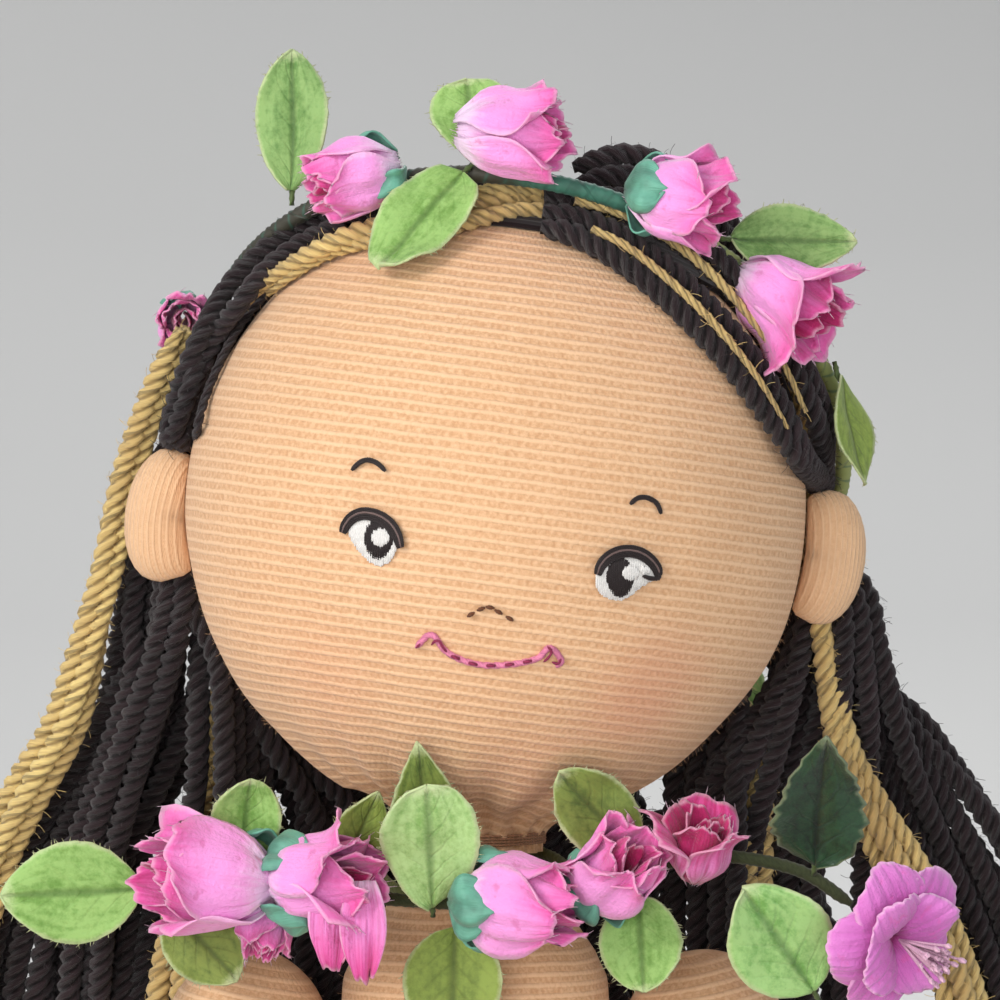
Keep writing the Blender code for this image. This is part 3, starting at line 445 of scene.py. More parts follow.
def length(name, description, default):
    return FloatProperty(name=name, description=description, default=default, unit="LENGTH", precision=5)


def colour(name, description, *value):
    return FloatVectorProperty(
        name=name, description=description, default=srgb(*value), subtype="COLOR", size=3, min=0, max=1
    )


class DollSizes(bpy.types.PropertyGroup):
    course: length("Course", "Height of one course of the knit", 1.48 * MM)
    wale: length("Wale", "Width of one stitch of the knit", 1.45 * MM)
    yarn: length("Yarn", "Half thickness of a strand of hair", 1.85 * MM)
    twist: length("Twist", "Length in which a strand of hair turns once", 6.8 * MM)
    thread: length("Thread", "Half thickness of the embroidery thread", 0.36 * MM)
    fuzz: length("Fuzz", "Length of the fibres that stand off the yarn", 1.5 * MM)
    seed: IntProperty(name="Seed", description="Start of every random choice", default=7, min=0)
    fuzziness: FloatProperty(name="Fuzziness", description="Fibres on a square centimetre", default=24, min=0)


class DollColours(bpy.types.PropertyGroup):
    knit: colour("Knit", "Skin of the doll", 236, 196, 156)
    groove: colour("Knit grooves", "Shade between the courses", 206, 158, 116)
    blush: colour("Blush", "Rouge on the cheeks", 226, 138, 112)
    dark: colour("Dark yarn", "Most of the hair", 50, 38, 41)
    gold: colour("Gold yarn", "Lighter strands of the hair", 236, 200, 132)
    pink: colour("Petals", "Middle of the petals", 240, 156, 220)
    magenta: colour("Petal tips", "Tips of the petals", 230, 92, 168)
    crimson: colour("Inner petals", "Deepest colour, inside the buds", 180, 34, 98)
    lilac: colour("Petal bases", "Pale foot of the petals", 242, 210, 240)
    leaf: colour("Leaves", "Light green leaves", 104, 148, 62)
    olive: colour("Olive leaves", "Darker leaves", 106, 128, 52)
    calyx: colour("Cups", "Cups of the roses", 104, 172, 148)
    band: colour("Band", "Wound band of the crown", 76, 140, 118)


def sizes():
    return bpy.context.scene.doll_sizes


def colours():
    return bpy.context.scene.doll_colours


# Finishes


def scaled(value, share):
    """A colour made lighter or darker, at most full in each part."""
    return tuple(min(part * share, 1) for part in value)
def fabric_rows(finish, centre, axis, across, ball=0.0, foot=False):
    """Where a point lies on a knitted tube: rows along its axis and stitches round it."""
    away = finish.vector("SUBTRACT", finish.place, tuple(centre))
    rise = finish.dot(away, tuple(axis))
    side = finish.dot(away, tuple(across))
    deep = finish.dot(away, tuple(axis.cross(across)))
    if ball:
        reach = (side * side + deep * deep) ** 0.5
        rise = rise * 0.7 + rise.call("ARCTAN2", reach) * (ball * 0.3)
    if foot:
        ahead = finish.dot(finish.place, tuple(FRONT))
        rise = rise + finish.dot(finish.place, tuple(UP)) * finish.smooth(ahead, 94 * MM, 116 * MM)
    return rise, deep.call("ARCTAN2", side)


def knit_finish(name, centre, axis, across, radius, ball=0.0, blushes=(), fine=1.0, foot=False):
    """Fine knitted cotton: soft rows of staggered stitches, brushed to a light nap, with painted shade in the
    grooves.
    """
    finish = Finish(name, 0.95, Sheen_Weight=0.15, Sheen_Roughness=0.6, Specular_IOR_Level=0.08)
    rise, round_it = fabric_rows(finish, centre, axis, across, ball, foot)
    count = round(TAU * radius / (sizes().wale * fine))
    wander = finish.noise(finish.place, 160, 2) - 0.5
    row = rise / (sizes().course * fine) + wander * 0.26
    stitch = round_it * (count / TAU) + wander * 0.35
    half_row = row * 2
    number = half_row.call("FLOOR")
    up = half_row.call("FRACT") * 2 - 1
    sideways = (stitch + number * 0.5).call("FRACT") * 2 - 1
    dome = (1 - up * up) * (1 - sideways * sideways * 0.7)
    course = (row * TAU).call("SINE") * 0.5 + 0.5
    height = course * 0.62 + dome * 0.38
    cloud = finish.noise(finish.place, 60, 3)
    grain = finish.noise(finish.place, 1700, 4, 0.65)
    shade = finish.smooth(height + (grain - 0.5) * 1.5, -0.05, 0.85)
    # Painted shade: the low parts of the courses and stitches are mixed toward the groove colour, less so for
    # finer knit.
    groove = tuple(g + (k - g) * (1 - fine) for g, k in zip(colours().groove, colours().knit))
    tone = finish.mix(shade, groove, tuple(colours().knit))
    tone = finish.mix((cloud - 0.35) * 0.4, tone, srgb(214, 166, 122))
    for place, size, strength in blushes:
        sockets = {0: finish.place, 1: tuple(place)}
        far = finish.node("ShaderNodeVectorMath", {"operation": "DISTANCE"}, sockets, "Value")
        patch = finish.smooth(far * -1, -size, -size * 0.15) * (0.75 + cloud * 0.5) * strength
        tone = finish.mix(patch, tone, tuple(colours().blush))
    finish.connect("Base Color", tone)
    finish.bump(height + grain * 0.5, 0.26 * MM, 0.8)
    return finish


def yarn_finish(name, base, bright, deep):
    """Three-ply spun yarn: fibres run along the plies and the furrows between them are painted dark, as
    shade.
    """
    finish = Finish(name, 0.95, Sheen_Weight=0.20, Sheen_Roughness=0.5, Specular_IOR_Level=0.12)
    around = finish.attribute("across")
    place = finish.point(around * 60, finish.attribute("along") * 260)
    fibres = finish.noise(place, 1.0, 3, 0.6)
    cloud = finish.noise(finish.place, 90, 2)
    tone = finish.attribute("tone")
    shade = finish.smooth(fibres + (cloud - 0.5) * 0.6 + (tone - 0.5) * 0.35, 0.25, 0.8)
    ply = (around * (3 * math.pi)).call("COSINE").call("ABSOLUTE")
    # Painted shade: the furrows between the plies take the deep colour.
    furrow = finish.smooth(ply + (fibres - 0.5) * 0.35, 0.05, 0.62)
    finish.connect("Base Color", finish.mix(furrow, deep, finish.mix(shade, base, bright)))
    finish.bump(fibres + ply * 0.8, 0.35 * MM, 0.9)
    return finish


def thread_finish(name, value, roughness=0.55):
    """Stranded embroidery cotton with a light sheen."""
    finish = Finish(name, roughness, Sheen_Weight=0.15, Specular_IOR_Level=0.3)
    along = finish.attribute("along") * 1500
    fibres = finish.noise(finish.point(finish.attribute("across") * 14, along), 1.0, 2)
    finish.connect("Base Color", finish.mix(finish.smooth(fibres, 0.2, 0.75), scaled(value, 0.55), value))
    finish.bump(fibres, 0.06 * MM, 0.6)
    return finish


def petal_finish(name, foot, middle, tip, deep):
    """Fine cloth dyed from a pale foot to a strong tip, deeper in the inner petals, with pale torn edges and
    painted shade in its crumples.
    """
    finish = Finish(name, 0.82, Sheen_Weight=0.3, Sheen_Roughness=0.5, Specular_IOR_Level=0.25)
    reach, side, tone = (finish.attribute(key) for key in ("reach", "side", "tone"))
    cloud = finish.noise(finish.place, 300, 3)
    across = side.call("ABSOLUTE")
    folds = finish.noise(finish.point(side * 9, reach * 1.6, tone * 5), 1.0, 3)
    amount = reach + (cloud - 0.5) * 0.30 + (folds - 0.5) * 0.30 + tone * 0.25
    mixed = finish.mix(finish.smooth(amount, 0.10, 0.42), foot, middle)
    mixed = finish.mix(finish.smooth(amount, 0.55, 1.15), mixed, tip)
    mixed = finish.mix(finish.smooth(tone + (folds - 0.5) * 0.6, 0.35, 1.1), mixed, deep)
    rim = finish.smooth(across + (cloud - 0.5) * 0.2, 0.88, 1.0)
    rim = rim.call("MAXIMUM", finish.smooth(reach, 0.95, 1.0))
    crumple = finish.noise(finish.place, 420, 3, 0.6)
    # Painted shade: the hollows of the crumple bump are mixed toward the deep colour.
    mixed = finish.mix(finish.smooth(crumple * -1, -0.42, -0.30) * 0.30, mixed, deep)
    finish.connect("Base Color", finish.mix(rim * 0.40, mixed, srgb(250, 214, 234)))
    weave = finish.noise(finish.place, 2600, 1)
    finish.bump(folds * 0.8 + crumple * 1.2 + weave * 0.3, 0.45 * MM, 0.8)
    return finish


def leaf_finish(name, base, light, roughness=0.72, veined=0.35, pale=0.65):
    """Cloth leaf in blotched greens: darker veins, painted shade along the midrib fold, and a bleached cut
    edge.
    """
    finish = Finish(name, roughness, Sheen_Weight=0.1, Subsurface_Weight=0.04)
    finish.shader.inputs["Subsurface Scale"].default_value = 1.0 * MM
    reach, side = finish.attribute("reach"), finish.attribute("side")
    across = side.call("ABSOLUTE")
    cloud = finish.noise(finish.place, 150, 3, 0.6)
    blotch = finish.noise(finish.place, 900, 4, 0.7)
    streak = finish.noise(finish.point(side * 4, reach * 1.4), 1.4, 2)
    dim = scaled(base, 0.42)
    shade = finish.smooth(cloud * 0.55 + streak * 0.45 + (blotch - 0.5) * 0.7 + across * 0.10, 0.28, 0.70)
    tone = finish.mix(shade, base, light)
    slope = ((reach * 6.0 - across * 2.2) + (cloud - 0.5) * 0.8).call("FRACT") * 2 - 1
    veins = finish.smooth(slope.call("ABSOLUTE") * -1, -0.30, 0.0) * (1 - across)
    # Painted shade along the midrib, where the leaf folds into a valley; the veins are darkened as the leaf's
    # own colour.
    rib = finish.smooth(across * -1, -0.16, 0.0)
    tone = finish.mix((rib * 0.6).call("MAXIMUM", veins * veined), tone, dim)
    edge = finish.smooth(across.call("MAXIMUM", reach) + (blotch - 0.5) * 0.16, 0.88, 1.0)
    finish.connect("Base Color", finish.mix(edge * pale, tone, srgb(206, 216, 168)))
    weave = finish.noise(finish.place, 2400, 1)
    finish.bump(streak * 0.5 - rib * 0.9 - veins * 0.4 + weave * 0.25, 0.35 * MM, 0.6)
    return finish


def wound_finish(name, base):
    """Crepe tape wound round a wire."""
    finish = Finish(name, 0.6, Sheen_Weight=0.1)
    along = finish.attribute("along") * (1 / (2.2 * MM))
    turn = (along + finish.attribute("across")).call("FRACT") * 2 - 1
    edge = finish.smooth(turn.call("ABSOLUTE"), 0.72, 0.98)
    cloud = finish.noise(finish.place, 240, 3)
    dim = scaled(base, 0.45)
    aside = finish.dot(finish.place, tuple(RIGHT))
    tone = finish.mix(finish.smooth(cloud, 0.3, 0.7), dim, base)
    tone = finish.mix(finish.smooth(aside, 24 * MM, 34 * MM), tone, srgb(150, 160, 96))
    tone = finish.mix(finish.smooth(aside * -1, -10 * MM, -2 * MM), tone, srgb(54, 52, 40))
    finish.connect("Base Color", finish.mix(edge * 0.6, tone, dim))
    finish.bump(turn * 0.8 + cloud * 0.5, 0.35 * MM, 0.7)
    return finish


def calyx_finish(name, base):
    """Cloth of the cups, with ribs along it."""
    finish = Finish(name, 0.55, Sheen_Weight=0.15)
    reach, side = finish.attribute("reach"), finish.attribute("side")
    cloud = finish.noise(finish.place, 300, 3)
    ribs = finish.noise(finish.point(side * 20, reach * 2), 1.0, 2)
    shade = finish.smooth(cloud + reach * 0.3, 0.3, 0.85)
    finish.connect("Base Color", finish.mix(shade, scaled(base, 0.42), base))
    finish.bump(ribs + cloud * 0.4, 0.25 * MM, 0.6)
    return finish


# Yarn: strands that follow paths, twisted from plies, with fibres that stand off


class Skein:
    """Gathers strands as chains of points, with a half thickness and a tone at each."""

    def __init__(self):
        self.points, self.edges, self.thick, self.tone = [], [], [], []

    def add(self, path, radius, tone=0.5, tips=(0.5, 0.5), reach=None):
        reach = reach or radius * 1.5
        lengths = lengths_along(path)
        start = len(self.points)
        for i, (point, far) in enumerate(zip(path, lengths)):
            size = 1.0
            for tip, near in ((tips[0], far), (tips[1], lengths[-1] - far)):
                share = min(near / reach, 1)
                size = min(size, tip + (1 - tip) * math.sin(share * math.pi / 2))
            self.points.append(point)
            self.thick.append(radius * size)
            self.tone.append(tone)
            if i:
                self.edges.append((start + i - 1, start + i))

    def spin(self, name, finish, pitch, step, sides=12, plies=3, lobe=0.22, fuzz=0.0, fibre=1.0 * MM):
        made = new_object(name, self.points, [], finish, self.edges)
        set_attribute(made, "thick", self.thick)
        set_attribute(made, "tone", self.tone)
        values = {"Step": step, "Pitch": pitch, "Sides": sides, "Plies": plies, "Lobe": lobe, "Fibres": fuzz}
        seed = sizes().seed + len(self.points)
        return yarn_maker().run(made, **values, Fibre_Length=fibre, Seed=seed, Material=finish.material)


MAKERS = {}
FIBRE_INPUTS = {
    "Fibres": ("Float", 0.0), "Fibre Length": ("Float", 1 * MM), "Seed": ("Int", 1),
    "Material": ("Material", None),
}
FIBRES_PER_AREA = 10000  # what one fibre on a square centimetre is on a square metre


def yarn_maker():
    """The geometry tree that spins chains of points into plied yarn."""
    if "yarn" in MAKERS:
        return MAKERS["yarn"]
    inputs = {
        "Step": ("Float", 1 * MM), "Pitch": ("Float", 8 * MM), "Sides": ("Int", 12), "Plies": ("Int", 3),
        "Lobe": ("Float", 0.2), **FIBRE_INPUTS,
    }
    maker = Maker("spun_yarn", inputs)
    chains = maker.given("Geometry")
    curve = maker.node("GeometryNodeMeshToCurve", sockets={"Mesh": chains})
    sockets = {"Curve": curve, "Length": maker.given("Step")}
    curve = maker.node("GeometryNodeResampleCurve", {"mode": "LENGTH"}, sockets)
    factor, far = maker.node("GeometryNodeSplineParameter", output=("Factor", "Length"))
    turn = far * TAU / maker.given("Pitch")
    curve = maker.node("GeometryNodeSetCurveTilt", sockets={"Curve": curve, "Tilt": turn})
    curve = keep(maker, curve, "along", far)
    sockets = {"Resolution": maker.given("Sides"), "Radius": 1.0}
    ring = maker.node("GeometryNodeCurvePrimitiveCircle", sockets=sockets)
    wave = (factor * maker.given("Plies") * math.pi).call("COSINE").call("ABSOLUTE")
    swell = 1 - maker.given("Lobe") * (1 - wave)
    place = maker.node("GeometryNodeInputPosition")
    scaled = maker.node("ShaderNodeVectorMath", {"operation": "SCALE"}, {"Vector": place, "Scale": swell})
    ring = maker.node("GeometryNodeSetPosition", sockets={"Geometry": ring, "Position": scaled})
    ring = keep(maker, ring, "across", factor)
    thick = maker.node("GeometryNodeInputNamedAttribute", sockets={"Name": "thick"})
    sockets = {"Curve": curve, "Profile Curve": ring, "Scale": thick, "Fill Caps": True}
    strand = maker.node("GeometryNodeCurveToMesh", sockets=sockets)
    strand = maker.node("GeometryNodeSetShadeSmooth", sockets={"Geometry": strand})
    both = join_two(maker, add_fibres(maker, strand), strand)
    maker.close(both)
    MAKERS["yarn"] = maker
    return maker


def join_two(maker, first, second):
    both = maker.node("GeometryNodeJoinGeometry")
    for part in (first, second):
        maker.tree.links.new(part.socket, both.socket.node.inputs[0])
    return both


def keep(maker, geometry, name, value):
    settings = {"data_type": "FLOAT", "domain": "POINT"}
    sockets = {"Geometry": geometry, "Name": name, "Value": value}
    return maker.node("GeometryNodeStoreNamedAttribute", settings, sockets)


def add_fibres(maker, surface):
    """Short bent fibres scattered over a surface."""
    seed = maker.given("Seed")
    sockets = {"Mesh": surface, "Density": maker.given("Fibres"), "Seed": seed}
    points, normal = maker.node("GeometryNodeDistributePointsOnFaces", (), sockets, ("Points", "Normal"))
    sockets = {"Min": (-1, -1, -1), "Max": (1, 1, 1), "Seed": seed}
    stray = maker.node("FunctionNodeRandomValue", {"data_type": "FLOAT_VECTOR"}, sockets)
    sockets = {"Vector": maker.vector("ADD", normal, stray)}
    turn = maker.node("FunctionNodeAlignRotationToVector", {"axis": "Z"}, sockets)
    sockets = {"Resolution": 3, "Start": (0, 0, 0), "Middle": (0.05, 0, 0.45), "End": (0.45, 0.1, 0.85)}
    arc = maker.node("GeometryNodeCurveQuadraticBezier", (), sockets)
    ring = maker.node("GeometryNodeCurvePrimitiveCircle", (), {"Resolution": 3, "Radius": 0.022})
    hair = maker.node("GeometryNodeCurveToMesh", (), {"Curve": arc, "Profile Curve": ring, "Fill Caps": True})
    size = maker.node("FunctionNodeRandomValue", {"data_type": "FLOAT"}, {2: 0.4, 3: 1.3}, 1)
    size = size * maker.given("Fibre Length")
    sockets = {"Points": points, "Instance": hair, "Rotation": turn, "Scale": size}
    return maker.node("GeometryNodeInstanceOnPoints", (), sockets)


# Head, ears and neck


HEAD_COLUMNS, HEAD_ROWS, NECK_ROWS = 144, 84, 8
HEAD_LOW = math.radians(158)
GATHERS = 18
NECK_HEM = 1.2 * MM


def stuffed_head(finish):
    """The knitted ball, which narrows in gathers to the tied neck."""
    rings = [ring_of(HEAD_COLUMNS, on_ball, HEAD_LOW * row / HEAD_ROWS) for row in range(1, HEAD_ROWS + 1)]
    neck = HEAD_AT.z - HEAD_HALF.z - 3 * MM
    last, foot = rings[-1], ring_of(HEAD_COLUMNS, on_neck, neck)
    for k in range(1, NECK_ROWS + 1):
        quarter = k / NECK_ROWS * math.pi / 2
        ring = []
        for a, b in zip(last, foot):
            point = a.lerp(b, math.sin(quarter))
            point.z = a.z + (b.z - a.z) * (1 - math.cos(quarter)) ** 0.8
            ring.append(point)
        rings.append(ring)
    rings.append([Vector((p.x, p.y, neck - NECK_HEM)) for p in foot])
    return skin("head", rings, finish, (on_head(UP, 0), Vector((0, 0, neck - NECK_HEM))))


def on_ball(turn, angle):
    """A point of the stuffed ball at an angle from its top."""
    level = math.sin(angle)
    way = Vector((math.cos(turn) * level, -math.sin(turn) * level, math.cos(angle)))
    return on_head(way, cheek(way) + pleat(angle, turn))


def on_neck(turn, height):
    """A point of the gathered edge that the thread ties."""
    radius = 9.3 * MM + 0.45 * MM * math.sin(turn * GATHERS)
    return Vector((math.cos(turn) * radius, -math.sin(turn) * radius, height))


def cheek(way):
    """Slight unevenness of the stuffing."""
    lump = noise.noise(way * 2.3 + Vector((4, 1, 7))) * 0.55 * MM
    return lump + noise.noise(way * 6 + Vector((1, 8, 2))) * 0.12 * MM - 0.1 * MM


def pleat(angle, turn):
    """Folds that begin below the chin and deepen to the neck."""
    share = max((angle - math.radians(128)) / math.radians(30), 0)
    return share**1.5 * 0.65 * MM * math.sin(turn * GATHERS + 1.2 * math.sin(turn * 3))


EAR_RISE_SHARES = {"ear_left": 0.0, "ear_right": -0.08}
# Rings of an ear from the head out: how far out, how tall and how thick, in shares of the sizes in mm below
EAR_ROW_SHARES = (
    (0.00, 0.84, 0.50), (0.10, 0.93, 0.80), (0.25, 1.00, 0.97), (0.42, 0.99, 1.04), (0.58, 0.94, 1.02),
    (0.72, 0.82, 0.92), (0.83, 0.67, 0.76), (0.91, 0.50, 0.56), (0.965, 0.32, 0.34), (0.992, 0.14, 0.16),
)
EAR_REACH, EAR_HALF_HEIGHT, EAR_HALF_THICKNESS, EAR_TIP = 8.8, 9.5, 3.3, 8.85
EAR_COLUMNS = 40


def ear(name, finish):
    """A flat stuffed pad, sewn by its hollow edge to the side of the head."""
    out = RIGHT if name == "ear_left" else -RIGHT
    middle = out * HEAD_HALF.x + UP * (EAR_RISE_SHARES[name] * HEAD_WIDTH)
    root = head_local(middle, 0.1 * MM)
    rings = []
    for reach, tall, thick in EAR_ROW_SHARES:
        centre = root + out * (reach * EAR_REACH * MM)
        ring = oval(centre, tall * EAR_HALF_HEIGHT * MM, thick * EAR_HALF_THICKNESS * MM, EAR_COLUMNS, UP)
        for i, point in enumerate(ring):
            seam = math.exp(-((math.sin(TAU * i / EAR_COLUMNS) * 6) ** 2)) * 0.35 * MM * (0.4 + reach)
            ring[i] = point + (point - centre).normalized() * (seam + noise.noise(point * 120) * 0.25 * MM)
        if reach < 0.2:
            ring = [head_local(p, 0.1 * MM).lerp(p, reach * 4) for p in ring]
        rings.append([HEAD_PLACE @ p for p in ring])
    tips = (HEAD_PLACE @ root, HEAD_PLACE @ (root + out * EAR_TIP * MM))
    return skin(name.replace("ear", "ear_pad"), rings, finish, tips)


def neck_thread(finish):
    """The thread that is wound round the neck."""
    turns, steps = 4, 48
    radius = 9.95 * MM
    path = []
    for i in range(turns * steps + 1):
        turn = TAU * i / steps
        rise = (i / steps - turns / 2) * 0.42 * MM
        path.append(Vector((math.cos(turn) * radius, math.sin(turn) * radius, 98.8 * MM + rise)))
    skein = Skein()
    skein.add(path, 0.26 * MM, 0.4)
    return skein.spin("neck_thread", finish, 1.6 * MM, 0.6 * MM, 8, 2, 0.2)


# Face


# Lines and outlines of the embroidery, in pixels of the photograph
LIDS = (
    ((342.5, 533), (346, 525), (352, 518), (361, 514), (371, 514.5), (382, 518.5), (391, 526), (397, 536),
        (400.5, 548)),
    ((597.5, 575), (601, 566), (608, 558), (619, 552.5), (631, 551.5), (642, 554.5), (651, 561),
        (657, 569), (658.5, 576)),
)
# Threads of a lid: how far each lies from the lid's line, and its colour; the pale thread between the black
# ones is a painted highlight on the lid
LID_THREADS = ((5.4, "black"), (3.4, "black"), (1.4, "grey"), (-0.8, "black"), (-3.0, "black"),
    (-5.0, "black"))
CORNER = ((658, 572), (659, 578), (651, 578.5), (643, 576))
BROWS = (
    ((351.5, 470.3), (358.8, 463), (367.3, 459.9), (377, 463), (385.4, 471)),
    ((630.2, 504.2), (637.5, 498.2), (647.2, 497.7), (656.9, 503.5), (661.3, 513.9)),
)
NOSE = ((471, 614.5), (481, 609), (490, 607.5), (498.5, 612), (509.5, 618.5))
MOUTH = ((416, 647.5), (422, 641), (428, 635), (435, 636.5), (440, 645), (446, 651.5), (456, 657.5),
    (473, 663.5), (491, 665.5), (509.5, 664.5), (527.5, 661.5), (540, 657), (546, 649.5), (551.5, 648),
    (557.5, 654), (561.5, 661.5), (556, 667))
MOUTH_STITCHES = ((455.5, 657.5), (473, 663.8), (491, 665.6), (509.5, 664.6), (527.5, 661.5))
CURLS = (
    ((431.5, 645), (435, 641), (439.5, 641.5), (442, 646), (446.5, 652)),
    ((416, 648), (420, 644)),
    ((543.5, 662), (548.5, 657.5), (551.5, 651.5), (547.5, 646.5)),
    ((552, 662), (558, 664), (561, 659)),
)
WHITES = (
    ((349, 524), (350, 538), (358.5, 551), (369, 561.5), (379.7, 566.5), (390, 562), (396.5, 550),
        (396, 533), (385, 519), (368, 515), (356, 518)),
    ((596.5, 574), (596, 586), (601, 594.5), (610, 599), (620.7, 600.5), (631, 595.5), (639, 588.5),
        (650, 581.5), (658, 577), (655, 565), (640, 555), (620, 555), (604, 562)),
)
# Each thread's colour and roughness
FACE_THREADS = {
    "white": ((250, 248, 244), 0.5),
    "black": ((34, 22, 22), 0.5),
    # This pale thread paints the highlight along the black satin lids
    "grey": ((122, 100, 96), 0.45),
    "brown": ((112, 66, 38), 0.6),
    "pink": ((238, 140, 176), 0.6),
    "magenta": ((150, 42, 82), 0.6),
}


def disc(x, y, wide, tall):
    return [(x + wide * math.cos(TAU * i / 20), y + tall * math.sin(TAU * i / 20)) for i in range(20)]


IRISES = (disc(378.6, 538.5, 14.0, 21.0), disc(620, 577, 13.4, 20.0))
LIGHTS = (disc(380.4, 537.5, 8.8, 9.8), disc(630.5, 573, 8.0, 8.0), disc(645, 570, 4.6, 4.8))


def pixel_line(points, lift):
    """A smooth line over the face through pixels of the photograph."""
    fine = smooth_path([Vector((x, y, 0)) for x, y in points], max(len(points) * 4, 8))
    return [on_face(p.x, p.y, lift) for p in fine]


def satin(skein, outline, lift, radius):
    """Fills an outline with upright stitches side by side."""
    low, high = min(p[0] for p in outline), max(p[0] for p in outline)
    count = max(int((high - low) / (radius / PIXEL * 1.15)), 2)
    for k in range(count):
        x = low + (high - low) * (k + 0.5) / count
        cuts = []
        for (ax, ay), (bx, by) in zip(outline, [*outline[1:], outline[0]]):
            if (ax - x) * (bx - x) <= 0 and ax != bx:
                cuts.append(ay + (by - ay) * (x - ax) / (bx - ax))
        top, bottom = min(cuts) - 0.6 * math.sin(k * 2.3), max(cuts) + 0.6 * math.sin(k * 1.9)
        line = []
        for i in range(7):
            share = i / 6
            rise = lift + 0.22 * MM * math.sin(share * math.pi) ** 0.5
            aside = x + 0.5 * math.sin(k * 1.7) * (share - 0.5)
            line.append(on_face(aside, top + (bottom - top) * share, rise))
        skein.add(line, radius, 0.5 + 0.3 * math.sin(k * 5.1), (0.7, 0.7))


def dashes(skein, points, radius, long_pixels, lift):
    """One short stitch at each point, along the line that they make."""
    knots = [Vector(point) for point in points]
    for i, (x, y) in enumerate(points):
        way = tangent(knots, i)
        line = []
        for share in (-1, -0.5, 0, 0.5, 1):
            far = share * long_pixels / 2
            line.append(on_face(x + way.x * far, y + way.y * far, lift * (1 - 0.7 * share * share)))
        skein.add(line, radius, 0.5, (0.6, 0.6))


def bowed(points, shift):
    """A line of pixels moved sideways, less so at its ends."""
    knots = [Vector(point) for point in points]
    made = []
    for i, (x, y) in enumerate(points):
        way = tangent(knots, i) * (0.55 + 0.45 * math.sin(math.pi * i / (len(points) - 1)) ** 0.6)
        made.append((x + way.y * shift, y - way.x * shift))
    return made


def build_face():
    thread = sizes().thread
    finishes = {}
    for key, (value, roughness) in FACE_THREADS.items():
        finishes[key] = thread_finish("thread_" + key, srgb(*value), roughness)
    skeins = {key: Skein() for key in finishes}
    for key, outlines, lift in (("white", WHITES, 0.10), ("black", IRISES, 0.30), ("white", LIGHTS, 0.50)):
        for outline in outlines:
            satin(skeins[key], outline, lift * MM, thread * 0.62)
    for points in LIDS:
        for shift, key in LID_THREADS:
            skeins[key].add(pixel_line(bowed(points, shift), 0.62 * MM), thread * 0.56)
    skeins["black"].add(pixel_line(CORNER, 0.62 * MM), thread)
    for points in BROWS:
        for shift in (-1.0, 1.0):
            skeins["black"].add(pixel_line(bowed(points, shift), 0.35 * MM), thread * 0.72)
    dashes(skeins["brown"], NOSE, 0.33 * MM, 7.2, 0.5 * MM)
    skeins["pink"].add(pixel_line(MOUTH, 0.20 * MM), 0.5 * MM, 0.5)
    dashes(skeins["magenta"], MOUTH_STITCHES, 0.30 * MM, 10, 0.85 * MM)
    for points in CURLS:
        skeins["magenta"].add(pixel_line(points, 0.75 * MM), 0.22 * MM, 0.5)
    for key, skein in skeins.items():
        made = skein.spin("face_" + key, finishes[key], 2.6 * MM, 0.35 * MM, 8, 2, 0.12)
        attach(made, "head")


# Body


def node_copy(node, name, finish):
    """A merged copy of a CAD node's mesh."""
    source = bpy.data.objects[node] if node in bpy.data.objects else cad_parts[node]
    mesh = source.data.copy()
    made = bpy.data.objects.new(name, mesh)
    mesh.name = name
    bpy.context.scene.collection.objects.link(made)
    bm = bmesh.new()
    bm.from_mesh(mesh)
    bmesh.ops.remove_doubles(bm, verts=bm.verts, dist=0.01 * MM)
    bm.to_mesh(mesh)
    bm.free()
    mesh.materials.clear()
    mesh.materials.append(finish.material)
    return made


def modifier(obj, kind, **settings):
    step = obj.modifiers.new(kind.lower(), kind)
    for key, value in settings.items():
        setattr(step, key, value)
    return step


VOXEL = 1.6 * MM
PUFF_CAP = 0.6 * MM
LUMPS = 0.35 * MM
NAP_LENGTH = 0.8 * MM


def stuffed(node, name, finish, swell):
    """A sewn and stuffed form from a CAD node, remeshed, smoothed and blown up a little."""
    made = node_copy(node, name, finish)
    modifier(made, "REMESH", mode="VOXEL", voxel_size=VOXEL, use_smooth_shade=True)
    modifier(made, "SMOOTH", factor=0.5, iterations=10)
    settle(made)
    modifier(made, "DISPLACE", strength=swell, mid_level=0)
    settle(made)
    puff(made, PUFF_CAP)
    modifier(made, "SMOOTH", factor=0.5, iterations=2)
    modifier(made, "SUBSURF", levels=1, render_levels=1)
    settle(made)
    uneven(made, LUMPS)
    made.data.shade_smooth()
    made.data.materials.clear()
    made.data.materials.append(finish.material)
    return made


def uneven(obj, lumps):
    """Moves every point a little, as stuffing under cloth does."""
    mesh = obj.data
    normals = [v.normal.copy() for v in mesh.vertices]
    for vertex, normal in zip(mesh.vertices, normals):
        lump = noise.noise(vertex.co * 75) * lumps + noise.noise(vertex.co * 260) * lumps * 0.35
        vertex.co += normal * lump
    mesh.update()


def nap(obj, finish, density):
    """Adds the short fibres that stand on brushed cotton."""
    if "nap" not in MAKERS:
        maker = Maker("nap", FIBRE_INPUTS)
        geometry = maker.given("Geometry")
        maker.close(join_two(maker, add_fibres(maker, geometry), geometry))
        MAKERS["nap"] = maker
    values = {"Fibres": density * FIBRES_PER_AREA, "Seed": sizes().seed, "Material": finish.material}
    return MAKERS["nap"].run(obj, Fibre_Length=NAP_LENGTH, **values)


PUFF_FRAMES = 20


